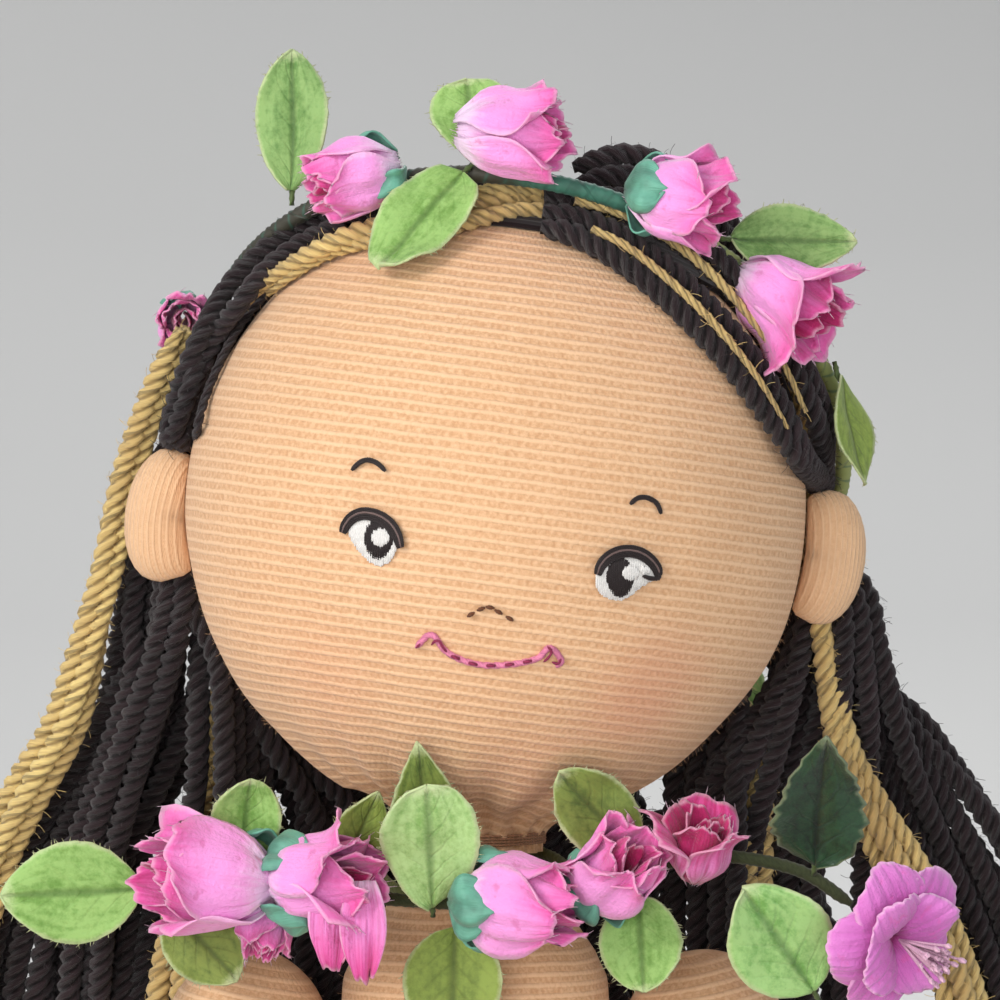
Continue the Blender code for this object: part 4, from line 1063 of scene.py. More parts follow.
def puff(obj, cap):
    """Blows a closed mesh up as cloth, and keeps every point within cap of where it was."""
    before = [v.co.copy() for v in obj.data.vertices]
    cloth = modifier(obj, "CLOTH")
    for key, value in {"use_pressure": True, "uniform_pressure_force": 4, "quality": 4, "mass": 0.15}.items():
        setattr(cloth.settings, key, value)
    cloth.settings.effector_weights.gravity = 0
    cloth.point_cache.frame_start, cloth.point_cache.frame_end = 1, PUFF_FRAMES
    for frame_number in range(1, PUFF_FRAMES + 1):
        bpy.context.scene.frame_set(frame_number)
    settle(obj)
    for vertex, start in zip(obj.data.vertices, before):
        move = vertex.co - start
        if move.length > cap:
            vertex.co = start + move * (cap / move.length)
    bpy.context.scene.frame_set(1)


# Hair

# Each lock's yarn, the degrees round the head at which it leaves the cap, and its fall from there in
# shares of the head's width from the head's centre
LOCKS = {
    "lock_gold_left_1": ("gold", 12, (0.535, 0.115, -0.26), (0.58, 0.125, -0.41), (0.66, 0.14, -0.57),
        (0.74, 0.155, -0.74), (0.79, 0.165, -0.92), (0.795, 0.17, -1.12)),
    "lock_dark_left_1": ("dark", 27, (0.545, 0.24, -0.27), (0.635, 0.275, -0.39), (0.735, 0.29, -0.53),
        (0.815, 0.29, -0.7), (0.855, 0.29, -0.92), (0.845, 0.29, -1.17)),
    "lock_gold_left_2": ("gold", 42, (0.415, 0.275, -0.33), (0.43, 0.245, -0.43), (0.415, 0.21, -0.58),
        (0.4, 0.19, -0.78), (0.42, 0.185, -1.06)),
    "lock_dark_left_2": ("dark", 58, (0.32, 0.375, -0.36), (0.4, 0.37, -0.52), (0.47, 0.345, -0.73),
        (0.5, 0.32, -1.0), (0.49, 0.315, -1.2)),
    "lock_back_3": ("dark", 74, (0.145, 0.455, -0.39), (0.165, 0.44, -0.58), (0.19, 0.4, -0.85),
        (0.185, 0.39, -1.23)),
    "lock_back_2": ("dark", 94, (-0.05, 0.47, -0.4), (-0.06, 0.455, -0.58), (-0.06, 0.415, -0.85),
        (-0.055, 0.4, -1.25)),
    "lock_back_1": ("dark", 114, (-0.235, 0.425, -0.4), (-0.275, 0.42, -0.58), (-0.3, 0.395, -0.85),
        (-0.28, 0.38, -1.23)),
    "lock_dark_right_2": ("dark", 132, (-0.39, 0.35, -0.34), (-0.48, 0.345, -0.5), (-0.54, 0.32, -0.73),
        (-0.545, 0.305, -1.0), (-0.52, 0.3, -1.2)),
    "lock_gold_right_2": ("gold", 148, (-0.44, 0.24, -0.32), (-0.47, 0.215, -0.44), (-0.51, 0.19, -0.64),
        (-0.535, 0.185, -0.88), (-0.52, 0.185, -1.08)),
    "lock_dark_right_1": ("dark", 165, (-0.55, 0.175, -0.26), (-0.62, 0.25, -0.4), (-0.705, 0.29, -0.58),
        (-0.755, 0.31, -0.8), (-0.745, 0.31, -1.18)),
    "lock_gold_right_1": ("gold", None, (-0.502, -0.01, 0.292), (-0.56, 0.025, 0.18), (-0.608, 0.08, 0.05),
        (-0.64, 0.1, -0.142), (-0.69, 0.13, -0.335), (-0.77, 0.165, -0.465), (-0.84, 0.19, -0.6),
        (-0.89, 0.2, -0.8), (-0.89, 0.21, -1.1)),
}
# Strands side by side in a lock
ACROSS = {"dark": 5, "gold": 2}
NAPE_LEAN = math.radians(20)
NAPE_DROP = 8 * MM


def way_out(turn, rise):
    return Vector((math.cos(turn) * math.cos(rise), math.sin(turn) * math.cos(rise), math.sin(rise)))


def rim_angle(turn):
    """How far below the level the edge of the hair cap lies, at a turn round the head."""
    edge = HEAD_AT - UP * NAPE_DROP
    normal = Matrix.Rotation(-NAPE_LEAN, 3, "X") @ UP
    low, high = -math.pi / 2, math.pi / 2
    for _ in range(24):
        middle = (low + high) / 2
        above = (on_head(way_out(turn, middle), 2.4 * MM) - edge).dot(normal) > 0
        low, high = (low, middle) if above else (middle, high)
    return high


def part_way(share):
    """The way to a point of the hair's parting, from the forehead to the nape side."""
    lean = math.radians(21) + share * math.radians(-112)
    return Vector((0.10 + 0.02 * share, -math.sin(lean), math.cos(lean))).normalized()


def turned(a, b, share):
    """A direction on the way from one direction to another."""
    angle = a.angle(b)
    if angle < 1e-6:
        return a.copy()
    return (a * math.sin((1 - share) * angle) + b * math.sin(share * angle)) / math.sin(angle)


def cap_path(turn, lift, wave):
    """From the parting over the cap to its edge."""
    degrees = math.degrees(turn)
    share = min(max((degrees if degrees < 90 else 180 - degrees) / 90, -0.08), 1)
    start = part_way(0.04 + 0.96 * share**0.9)
    end = way_out(turn, rim_angle(turn) + math.radians(4))
    path = []
    for i in range(9):
        along = i / 8
        rise = lift * min(0.25 + along * 6, 1)
        way = turned(start, end, along)
        way = Matrix.Rotation(wave * math.sin(along * 5 + turn * 9), 3, start.cross(end).cross(way)) @ way
        path.append(on_head(way, rise))
    return path


def lock_side(path, i):
    """Sideways across a lock: it lies flat on the head at its top and turns flat to the front below."""
    away = path[i] - HEAD_AT
    round_head = Vector((away.x, away.y, 0)).normalized()
    share = min(max(-away.z / (0.4 * HEAD_WIDTH), 0), 1)
    out = round_head * (1 - share) + FRONT * -share
    ahead = tangent(path, i)
    out = (out - ahead * out.dot(ahead)).normalized()
    return ahead.cross(out), out


def lock_fall(name):
    """The middle line of a lock, from the cap's edge down."""
    return smooth_path([HEAD_AT + Vector(share) * HEAD_WIDTH for share in LOCKS[name][2:]], 24)


def lock_strands(name, rng):
    """The chains of one lock: an outer row that comes from the parting, and an inner row under it."""
    yarn = LOCKS[name][0]
    radius = sizes().yarn
    fall = lock_fall(name)
    frames = [lock_side(fall, i) for i in range(len(fall))]
    strands = []
    for layer in (1, -1):
        many = ACROSS[yarn] - (1 if yarn == "gold" and layer < 0 else 0)
        for k in range(many):
            place = (k - (many - 1) / 2) * 1.96 * radius
            deep = layer * radius * (0.80 if yarn == "dark" else 0.5)
            phase, drop = rng.uniform(0, TAU), rng.uniform(0.93, 1.0)
            path = []
            for i, (point, (side, out)) in enumerate(zip(fall, frames)):
                share = i / (len(fall) - 1)
                if share > drop:
                    break
                spread = 0.70 + 0.40 * math.sin(min(share * 1.4, 1) * math.pi / 2)
                sway = 0.45 * radius * math.sin(phase + share * 7)
                point = point + side * (place * spread + sway) + out * (deep * min(0.35 + share * 3, 1))
                path.append(point + out * (0.35 * radius * math.sin(phase * 2 + share * 9)))
            strands.append((layer, k, path))
    return strands


def order_round_head():
    """Every strand that comes from the parting, with an even turn round the head for each."""
    queue = []
    for name, (yarn, degrees, *_) in LOCKS.items():
        if degrees is not None:
            queue += [(name, k) for k in range(ACROSS[yarn])]
    first, last = math.radians(6), math.radians(174)
    return {key: first + (last - first) * i / (len(queue) - 1) for i, key in enumerate(queue)}


def spin_hair(skein, name, finish):
    """Spins the gathered strands as three-ply hair yarn with standing fibres."""
    fibres = sizes().fuzziness * FIBRES_PER_AREA
    return skein.spin(name, finish, sizes().twist, 1.08 * MM, 12, 3, 0.34, fibres, sizes().fuzz)


# Loose strands that fill the locks' sides: half thickness in mm, then pixels and depths in mm
FILL_STRANDS = {
    "lock_dark_right_1": (
        (2.2, (187, 560, 5), (183, 610, 4), (172, 660, 5), (152, 725, 9), (128, 800, 14), (108, 890, 18),
            (98, 1010, 22)),
        (2.2, (176, 565, 6), (166, 612, 5), (150, 670, 6), (124, 740, 10), (98, 820, 16), (78, 910, 20),
            (66, 1020, 24)),
        (2.1, (150, 470, 10), (146, 520, 11), (138, 570, 12), (132, 620, 13), (134, 670, 12),
            (112, 740, 16), (84, 820, 20), (52, 910, 24), (30, 1020, 26)),
        (2.1, (152, 490, 14), (138, 545, 15), (124, 610, 16), (112, 680, 18), (86, 750, 22), (56, 820, 26),
            (22, 900, 28), (-6, 1010, 30)),
        (2.1, (168, 570, 9), (160, 620, 9), (150, 680, 10), (134, 750, 14), (112, 830, 18), (96, 920, 22),
            (88, 1020, 25)),
        (2.1, (160, 545, 15), (153, 600, 15), (146, 655, 16), (134, 720, 18), (116, 800, 22),
            (102, 890, 26), (94, 1000, 29)),
    ),
    "lock_dark_right_2": (
        (2.2, (205, 600, 10), (200, 650, 8), (198, 710, 8), (196, 780, 12), (186, 860, 18),
            (176, 1010, 22)),
        (2.2, (214, 625, 12), (224, 680, 9), (236, 735, 10), (246, 800, 15), (240, 880, 20),
            (230, 1010, 24)),
        (2.2, (222, 645, 14), (246, 700, 11), (276, 752, 12), (308, 800, 16), (330, 860, 21),
            (336, 960, 25)),
        (2.1, (232, 660, 18), (262, 712, 16), (300, 760, 17), (344, 800, 20), (372, 850, 24),
            (384, 930, 27)),
        (2.1, (226, 650, 22), (240, 720, 21), (262, 790, 22), (286, 860, 25), (292, 1000, 28)),
        (2.1, (240, 660, 22), (258, 715, 22), (280, 770, 24), (300, 830, 26), (308, 930, 28)),
        (2.1, (250, 700, 24), (292, 765, 23), (350, 812, 25), (400, 850, 27), (420, 930, 29)),
    ),
    "lock_dark_left_2": (
        (2.2, (806, 600, 10), (800, 655, 9), (786, 715, 10), (768, 780, 14), (752, 850, 18),
            (742, 1000, 22)),
        (2.2, (796, 630, 12), (780, 690, 10), (756, 745, 12), (730, 800, 16), (712, 860, 20),
            (702, 990, 24)),
        (2.2, (786, 655, 15), (760, 712, 13), (726, 760, 15), (694, 805, 18), (672, 860, 22),
            (664, 970, 26)),
        (2.1, (790, 650, 20), (758, 725, 19), (716, 790, 21), (684, 850, 24), (668, 960, 28)),
        (2.1, (806, 640, 16), (800, 700, 17), (792, 765, 19), (784, 840, 23), (778, 930, 27)),
        (2.1, (780, 680, 24), (738, 752, 23), (690, 800, 25), (640, 842, 27), (616, 920, 29)),
    ),
    "lock_dark_left_1": (
        (2.2, (838, 600, 10), (842, 660, 10), (838, 730, 13), (826, 800, 17), (812, 880, 21),
            (806, 1010, 25)),
        (2.2, (850, 590, 12), (862, 650, 12), (868, 720, 15), (866, 800, 19), (862, 880, 23),
            (866, 1010, 27)),
        (2.2, (860, 585, 14), (876, 640, 14), (892, 705, 16), (914, 775, 20), (944, 850, 24),
            (972, 930, 27), (985, 1020, 29)),
        (2.1, (822, 620, 14), (822, 690, 15), (808, 760, 18), (794, 830, 22), (786, 920, 25),
            (782, 1010, 27)),
    ),
}
FILL_SHARE = 0.88
# Strands from the nape: degrees beside the lock's own, knots on the head as rise and lift in mm, then knots
# below as a share of the way out and a height in mm
NAPE_STEPS = (-8.5, -3, 3, 8.5)
NAPE_TOP = ((0.16, 1.6), (-0.08, 2.2), (-0.34, 2.4))
NAPE_FALL = ((0.99, 84), (0.98, 66), (0.97, 46))


def nape_strands(degrees):
    """Paths of the strands that hang straight from the cap's edge and close the gaps between locks."""
    for step in NAPE_STEPS:
        turn = math.radians(degrees + step)
        low = rim_angle(turn)
        path = [on_head(way_out(turn, low + rise), lift * MM) for rise, lift in NAPE_TOP]
        foot = path[-1]
        path += [Vector((foot.x * share, foot.y * share, high * MM)) for share, high in NAPE_FALL]
        yield smooth_path(path, 50)


def root_of(point):
    """Where a strand that hangs from this point leaves the head: a little higher and farther back."""
    way = HEAD_TURN.transposed() @ (point - HEAD_AT).normalized()
    return on_head((way + UP * 0.22 - FRONT * 0.12).normalized(), 1 * MM)


def build_locks(finishes):
    turns = order_round_head()
    rng = random.Random(sizes().seed)
    radius = sizes().yarn
    for name, (yarn, degrees, *_) in LOCKS.items():
        skein = Skein()
        for layer, k, path in lock_strands(name, rng):
            if degrees is not None and layer > 0:
                keys = sorted(turns[(name, j)] for j in range(ACROSS[yarn]))
                turn = keys[k] if lies_left_to_right(name) else keys[-1 - k]
                lead = cap_path(turn, radius + 0.35 * MM, 0.03)
                path = smooth_path([*lead, *path[3::3]], 40)
            skein.add(path, radius * rng.uniform(0.93, 1.05), rng.uniform(0.1, 0.9), (0.5, 0.72))
        for size, *points in FILL_STRANDS.get(name, ()):
            path = [at_pixel(x, y, deep * MM) for x, y, deep in points]
            path = smooth_path([root_of(path[0]), *path], 64)
            skein.add(path, size * FILL_SHARE * MM, rng.uniform(0.1, 0.9), (0.5, 0.7))
        for path in nape_strands(degrees) if yarn == "dark" and degrees else ():
            skein.add(path, radius, rng.uniform(0.1, 0.9), (0.5, 0.7))
        made = spin_hair(skein, "strands_" + name[5:], finishes[yarn])
        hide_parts(name)
        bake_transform(made)


def lies_left_to_right(name):
    """Whether the first strand across a lock is the one with the smallest turn round the head."""
    degrees = LOCKS[name][1]
    side, _ = lock_side(lock_fall(name), 1)
    ahead = way_out(math.radians(degrees + 5), 0) - way_out(math.radians(degrees), 0)
    return (HEAD_TURN @ ahead).dot(side) < 0


# Strands that frame the face: yarn, half thickness in mm, and the pixels they pass with their lifts in mm
FRINGES = {
    "fringe_right": (
        ("dark", 1.75, (378, 214, 2.6), (340, 213, 4.0), (300, 226, 5.2), (262, 250, 5.6), (228, 287, 5.6),
            (205, 328, 5.0), (186, 372, 4.4), (174, 406, 4.0), (166, 436, 3.6)),
        ("dark", 1.6, (345, 224, 2.6), (306, 240, 3.4), (268, 268, 3.8), (242, 300, 3.6), (220, 330, 3.0),
            (203, 362, 2.8), (191, 396, 2.3), (184, 420, 2.0), (178, 440, 1.8)),
        ("dark", 1.5, (226, 300, 4.2), (207, 340, 3.6), (192, 382, 3.2), (180, 416, 3.0), (171, 438, 3.0)),
        ("dark", 0.75, (345, 244, 0.9), (318, 255, 0.9), (290, 272, 0.9), (262, 297, 0.9), (240, 326, 0.9),
            (221, 360, 0.9), (206, 396, 0.9), (197, 430, 0.9)),
    ),
    "fringe_gold": (
        ("gold", 1.7, (541, 198, 2.2), (508, 199, 2.2), (474, 206, 2.2), (436, 216, 2.0), (400, 224, 2.2),
            (362, 231, 2.8), (325, 246, 2.8), (285, 268, 2.6), (255, 292, 2.6), (232, 320, 2.4)),
        ("gold", 1.5, (541, 211, 1.5), (514, 211, 1.5), (482, 218, 1.5), (446, 227, 1.5), (410, 234, 1.5),
            (370, 240, 1.5), (335, 250, 1.4), (300, 269, 1.4), (268, 293, 1.2)),
        ("gold", 1.3, (540, 190, 3.6), (500, 189, 3.8), (462, 195, 3.8), (425, 203, 3.8), (385, 213, 3.6)),
    ),
    "fringe_left": (
        ("dark", 1.9, (541, 227, 1.8), (572, 234, 1.9), (608, 252, 1.9), (648, 281, 1.9), (690, 320, 1.9),
            (733, 367, 1.9), (769, 416, 1.9), (801, 462, 2.2)),
        ("dark", 1.9, (543, 212, 2.8), (588, 221, 2.8), (630, 242, 2.8), (674, 274, 2.8), (716, 315, 2.8),
            (752, 360, 2.8), (782, 410, 2.8), (804, 456, 2.8)),
        ("dark", 1.8, (545, 197, 3.8), (592, 201, 4.4), (640, 218, 4.4), (684, 245, 4.4), (726, 281, 4.4),
            (765, 325, 4.4), (796, 376, 4.2), (818, 428, 3.8)),
        ("dark", 1.6, (600, 192, 6.0), (640, 204, 6.4), (684, 230, 6.4), (728, 266, 6.4), (768, 308, 6.2),
            (802, 362, 5.6), (824, 416, 4.6)),
    ),
    "strands_bound": (
        ("gold", 0.85, (575, 201, 5.0), (620, 213, 5.0), (664, 236, 5.0), (706, 268, 5.0), (746, 312, 5.0),
            (782, 362, 5.0), (806, 412, 4.6)),
        ("gold", 0.75, (592, 229, 3.9), (628, 247, 4.2), (676, 286, 4.2), (720, 330, 4.2), (760, 381, 4.1),
            (790, 432, 3.6)),
    ),
}
# How each yarn's ends narrow: the shares that are left at the tips, and over what length
FRINGE_TIPS = {"dark": ((0.6, 0.5), None), "gold": ((0.9, 0.45), 30 * MM)}
# Where the strands pass behind the ears: to the back and up, for one to the side
BEHIND_EARS = ((0.12, 0.22), (0.27, 0.08), (0.42, -0.08))
RIGHT_EAR_DROP, RIGHT_EAR_BACK = 0.15, 0.10
# Strands that lie over the top behind the band: directions from the head's centre, each with its lift in mm
TOP_STRANDS = (
    ((0.1, -0.16, 1.0, 4.0), (0.24, -0.12, 1.0, 7.2), (0.42, -0.04, 0.9, 8.0), (0.6, 0.06, 0.76, 5.6),
        (0.74, 0.16, 0.58, 3.2)),
    ((0.1, 0.02, 1.0, 4.0), (0.28, 0.04, 0.96, 7.6), (0.46, 0.1, 0.86, 7.8), (0.62, 0.18, 0.72, 5.2),
        (0.74, 0.3, 0.52, 3.0)),
    ((0.1, 0.18, 1.0, 4.0), (0.27, 0.22, 0.92, 7.0), (0.44, 0.28, 0.8, 7.0), (0.58, 0.36, 0.66, 4.8),
        (0.68, 0.48, 0.44, 3.0)),
    ((0.08, -0.08, 1.0, 6.0), (0.22, -0.06, 1.0, 10.0), (0.38, 0.02, 0.93, 10.6), (0.55, 0.12, 0.8, 8.4),
        (0.7, 0.24, 0.62, 5.4)),
)


def build_fringes(finishes):
    rng = random.Random(sizes().seed + 1)
    for name, rows in FRINGES.items():
        skein = Skein()
        for yarn, radius, *points in rows:
            path = [on_face(x, y, lift * MM) for x, y, lift in points]
            if yarn == "dark":
                at_right = points[-1][0] < PHOTO_MIDDLE
                side, drop, more = (-1, RIGHT_EAR_DROP, RIGHT_EAR_BACK) if at_right else (1, 0, 0)
                lift = min(points[-1][2], 3.2) * MM
                path += [on_head((side, back + more, rise - drop), lift) for back, rise in BEHIND_EARS]
            skein.add(smooth_path(path, 50), radius * MM, rng.uniform(0.2, 0.8), *FRINGE_TIPS[yarn])
        made = spin_hair(skein, name if name == "strands_bound" else "strands_" + name, finishes[yarn])
        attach(made, "head")
        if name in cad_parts:
            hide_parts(name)


CAP_COLUMNS, CAP_ROWS = 96, 44
CAP_INSIDE = 0.15 * MM


def cap_point(turn, row, lift):
    """A point of the hair base on its way from the top of the head to its edge."""
    rise = math.pi / 2 + (cap_edge(turn) - math.pi / 2) * row / CAP_ROWS
    return on_head(way_out(turn, rise), lift)


def build_cap(finish, yarn):
    """The dark knitted base that the strands are sewn to, with the strands that lie over the top."""
    rings = []
    for row in range(1, CAP_ROWS + 1):
        lift = 0.9 * MM + 0.15 * MM * math.sin(row * 2.0)
        rings.append(ring_of(CAP_COLUMNS, cap_point, row, lift))
    rings.append(ring_of(CAP_COLUMNS, lambda turn: on_head(way_out(turn, cap_edge(turn)), CAP_INSIDE)))
    for row in range(CAP_ROWS - 1, 0, -4):
        rings.append(ring_of(CAP_COLUMNS, cap_point, row, CAP_INSIDE))
    base = skin("hair_base", rings, finish, (on_head(UP, 0.9 * MM), on_head(UP, CAP_INSIDE)))
    skein = Skein()
    for k, knots in enumerate(TOP_STRANDS):
        path = [on_head((x, y, z), lift * MM) for x, y, z, lift in knots]
        skein.add(smooth_path(path, 30), sizes().yarn, 0.3 + 0.1 * k, (0.5, 0.4))
    over = spin_hair(skein, "strands_top", yarn)
    made = joined("hair_base", [base, over])
    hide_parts("hair_cap")
    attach(made, "head")


def cap_edge(turn):
    """How high the edge of the base lies: over the forehead in front and at the nape behind."""
    side = math.radians(30)
    back, front = max(math.sin(turn), 0), max(-math.sin(turn), 0)
    if front > 0.02:
        top = math.radians(64 - 14 * abs(math.cos(turn)) ** 3)
        return top if front > 0.25 else side + (top - side) * front / 0.25
    low = rim_angle(turn) + math.radians(3)
    return side + (low - side) * min(back / 0.30, 1)


# Flowers and leaves


class Cloth:
    """Gathers cloth sheets that carry how far along, how far across and how deep in tone a point lies."""

    def __init__(self):
        self.points, self.faces, self.slots = [], [], []
        self.reach, self.side, self.tone = [], [], []

    def add(self, rows, slot=0, tone=0.0):
        start = len(self.points)
        columns = len(rows[0])
        for i, row in enumerate(rows):
            for j, point in enumerate(row):
                self.points.append(point)
                self.reach.append(i / (len(rows) - 1))
                self.side.append(j / (columns - 1) * 2 - 1)
                self.tone.append(tone)
        made = sheet_faces(len(rows), columns, start)
        self.faces += made
        self.slots += [slot] * len(made)

    def sew(self, name, matrix, finishes, thickness):
        made = new_object(name, [matrix @ p for p in self.points], self.faces)
        for finish in finishes:
            made.data.materials.append(finish.material)
        made.data.polygons.foreach_set("material_index", self.slots)
        set_attribute(made, "reach", self.reach)
        set_attribute(made, "side", self.side)
        set_attribute(made, "tone", self.tone)
        modifier(made, "SOLIDIFY", thickness=thickness, offset=0)
        return settle(made)


def centred(obj, node):
    """Moves a piece's mesh so that its box has the same middle as a CAD node's."""
    low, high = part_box(node)
    points = [v.co for v in obj.data.vertices]
    middle = Vector([(min(p[i] for p in points) + max(p[i] for p in points)) / 2 for i in range(3)])
    obj.data.transform(Matrix.Translation((low + high) / 2 - middle))
    return obj


def sheet_rows(rows, columns, point):
    """Rows of points of a sheet, from the share along it and the place across it, -1 to 1."""
    sides = [j / (columns - 1) * 2 - 1 for j in range(columns)]
    return [[point(i / (rows - 1), side) for side in sides] for i in range(rows)]


# Girth of a rosebud from its foot to its tip, in shares of its widest
BUD_GIRTH = (0.34, 0.62, 0.86, 0.98, 1.0, 0.95, 0.86, 0.76, 0.68)
PETAL_ROWS, PETAL_COLUMNS = 13, 17


def bud_petal(turn, spread, radius, long, flare, seed, foot=0.0, ragged=0.10, lip=0.16, blunt=0.5, twist=0.0):
    """Rows of points of a petal that hugs a bud, with a torn tip and side edges that turn out."""

    def point(share, side):
        width = 0.62 + 0.38 * math.sin(min(share / 0.5, 1) * math.pi / 2)
        width *= 1 - (1 - blunt) * max((share - 0.6) / 0.4, 0) ** 2
        girth = radius * blended(BUD_GIRTH, share) + flare * radius * max((share - 0.5) * 2, 0) ** 1.6
        angle = turn + spread * width * side + twist * share
        fold = noise.noise(Vector((side * 2.1, share * 1.6, seed * 7.3)))
        crease = noise.noise(Vector((side * 5.5, share * 1.1, seed * 3.1)))
        out = girth + lip * radius * abs(side) ** 3 * (0.3 + share)
        out += radius * (fold * 0.30 + crease * 0.05) * (0.3 + share)
        tear = noise.noise(Vector((side * 2.2, seed * 2.7, 0.5)))
        tear += 0.2 * noise.noise(Vector((side * 13, seed, 9)))
        rise = foot + long * (share - 0.12 * side * side * share) + long * ragged * tear * share**2
        rise -= long * 0.05 * abs(noise.noise(Vector((side * 11, seed * 5, 3)))) * (1 - share) ** 2
        return Vector((math.cos(angle) * out, math.sin(angle) * out, rise))

    return sheet_rows(PETAL_ROWS, PETAL_COLUMNS, point)


def torn_threads(skein, rows, matrix, rng, reach, every=2):
    """Fine threads that stand out from the last row of a cut sheet."""
    last, before = rows[-1], rows[-3]
    for j in range(0, len(last), every):
        way = (last[j] - before[j]).normalized()
        way += Vector([rng.uniform(-0.5, 0.5) for _ in range(3)])
        far = rng.uniform(0.3, 1.0) * reach
        skein.add([matrix @ (last[j] + way * (far * s)) for s in (-0.25, 0.4, 1)], 0.07 * MM, 0.5, (1, 0.5))


# Petals of each layer of a bud: how many, half spread in degrees, girth, length, flare, depth of tone
BUD_LAYERS = (
    (1, 170, 0.26, 0.92, 0.1, 1.0),
    (2, 95, 0.50, 0.98, 0.25, 0.6),
    (3, 70, 0.78, 0.98, 0.42, 0.25),
    (3, 62, 1.00, 0.90, 0.62, 0.0),
)


def rose(name, matrix, size, turn, finishes, openness=1.0, cups=3, depth=0.0, drape=0):
    """A cloth rosebud: four whorls of torn petals in a cup of rounded sepals."""
    long, wide = 15 * MM * size, 5.6 * MM * size
    cloth, threads = Cloth(), Skein()
    rng = random.Random(name)
    for layer, (count, spread, girth, high, flare, tone) in enumerate(BUD_LAYERS):
        for k in range(count):
            seed = rng.uniform(0, 9)
            angle = turn + TAU * (k + layer * 0.41) / count + rng.uniform(-0.15, 0.15)
            rows = bud_petal(
                angle, math.radians(spread), girth * wide, long * high * rng.uniform(0.92, 1.04),
                flare * openness * rng.uniform(0.6, 1.3), seed, 0.06 * long * rng.random(), twist=0.25
            )
            cloth.add(rows, 0, min(tone + depth, 1.2))
            if layer > 1:
                torn_threads(threads, rows, matrix, rng, 1.1 * MM, 3)
                torn_threads(threads, rows[::-1], matrix, rng, 1.0 * MM, 3)
    for k in range(drape):
        cloth.add(hanging_petal(matrix, long, rng.uniform(0, 9), k), 0, 0.6)
    for k in range(cups):
        angle = turn + 0.5 + TAU * (k + rng.uniform(-0.1, 0.1)) / cups
        high = long * rng.uniform(0.42, 0.56)
        rows = bud_petal(angle, 0.75, 1.06 * wide, high, 0.05, k, -0.05 * long, 0.0, 0, 0.12)
        cloth.add(rows, 1)
    made = [cloth.sew(name, matrix, finishes[:2], 0.26 * MM)]
    made.append(threads.spin(name + "_threads", finishes[2], 3 * MM, 0.4 * MM, 3, 1, 0))
    return joined(name, made)


def hanging_petal(matrix, long, seed, number):
    """Rows of a loose petal that hangs straight down from the mouth of a bud."""
    turn = matrix.to_3x3().inverted()
    top = Vector((0, 0, long * 0.62))
    down, across = turn @ -UP, turn @ RIGHT

    def point(share, side):
        half = 3.3 * MM * math.sin(math.pi * (0.14 + 0.72 * share)) ** 0.8
        fold = noise.noise(Vector((side * 2.2, share * 1.4, seed))) * 1.6 * MM
        tear = noise.noise(Vector((side * 4, seed, 2))) * 1.2 * MM * share**2
        drop = share * (12.5 + 1.5 * number) * MM + tear - 1.6 * MM * side * side * share
        flat = top + down * drop + across * (side * half + (number * 4.4 - 0.5) * MM)
        return flat + turn @ FRONT * ((1.2 + number) * MM + fold + 2.4 * MM * math.sin(share * 2.2))

    return sheet_rows(PETAL_ROWS, PETAL_COLUMNS, point)


def leaf_rows(long, wide, shape, teeth=0, rows=25, columns=15):
    """Rows of points of a leaf along +Z with its face to -Y.

    shape holds the droop, the fold along the midrib, the twist in radians, the share at which the leaf is
    widest, how blunt its ends are and how wavy its edges are.
    """
    droop, fold, twist, widest, blunt, wave = shape
    power = math.log(0.5) / math.log(widest)

    def point(share, side):
        half = wide / 2 * (math.sin(math.pi * share**power) ** blunt * 0.97 + 0.05 * (1 - share) + 0.01)
        if teeth:
            half *= 1 + 0.20 * (0.5 - (share * teeth) % 1)
        angle = twist * (share - 0.4)
        x = side * half
        ridge = half * 0.35
        crease = fold * (ridge - abs(x)) if abs(x) < ridge else -fold * 0.3 * (abs(x) - ridge)
        ripple = wave * MM * math.sin(share * 8 + side * 1.5 + long * 900) * abs(side) ** 2
        lump = noise.noise(Vector((x * 240, share * 4, long * 900))) * 0.7 * MM * wave
        y = droop * 0.16 * long * share**2 + crease + ripple + lump
        jag = noise.noise(Vector((side * 9, share * 26, long * 700))) * 0.35 * MM * abs(side) ** 6
        x += math.copysign(jag, x)
        return turned_flat(x, y, angle, 2.2 * MM + share * long)

    return sheet_rows(rows, columns, point)


def turned_flat(x, y, angle, height):
    """A point at a height, turned round the upright axis."""
    c, s = math.cos(angle), math.sin(angle)
    return Vector((x * c - y * s, x * s + y * c, height))


def leaf(name, turn, node, long, wide, shape, finishes, teeth=0, fray=True):
    """A cut cloth leaf on a short stalk, with loose threads at its edges."""
    long, wide = 17 * MM * long, 11.5 * MM * wide
    cloth = Cloth()
    cloth.add(leaf_rows(long, wide, shape, teeth))
    made = cloth.sew(name, turn.to_4x4(), finishes[:1], 0.32 * MM)
    skein = Skein()
    droop = shape[0] * 0.16 * long
    stalk = [turn @ Vector((0, droop * (k / 16) ** 2 + 0.3 * MM, k * 0.5 * MM)) for k in range(7)]
    skein.add(stalk, 0.5 * MM, 0.5, (0.8, 0.3))
    parts = [made, skein.spin(name + "_stalk", finishes[1], 3 * MM, 0.8 * MM, 8, 2, 0.1)]
    if fray:
        rows = leaf_rows(long, wide, shape, teeth, 33, 15)
        parts.append(frayed_edge(name + "_fray", turn, rows, finishes[2]))
    return centred(joined(name, parts), node)


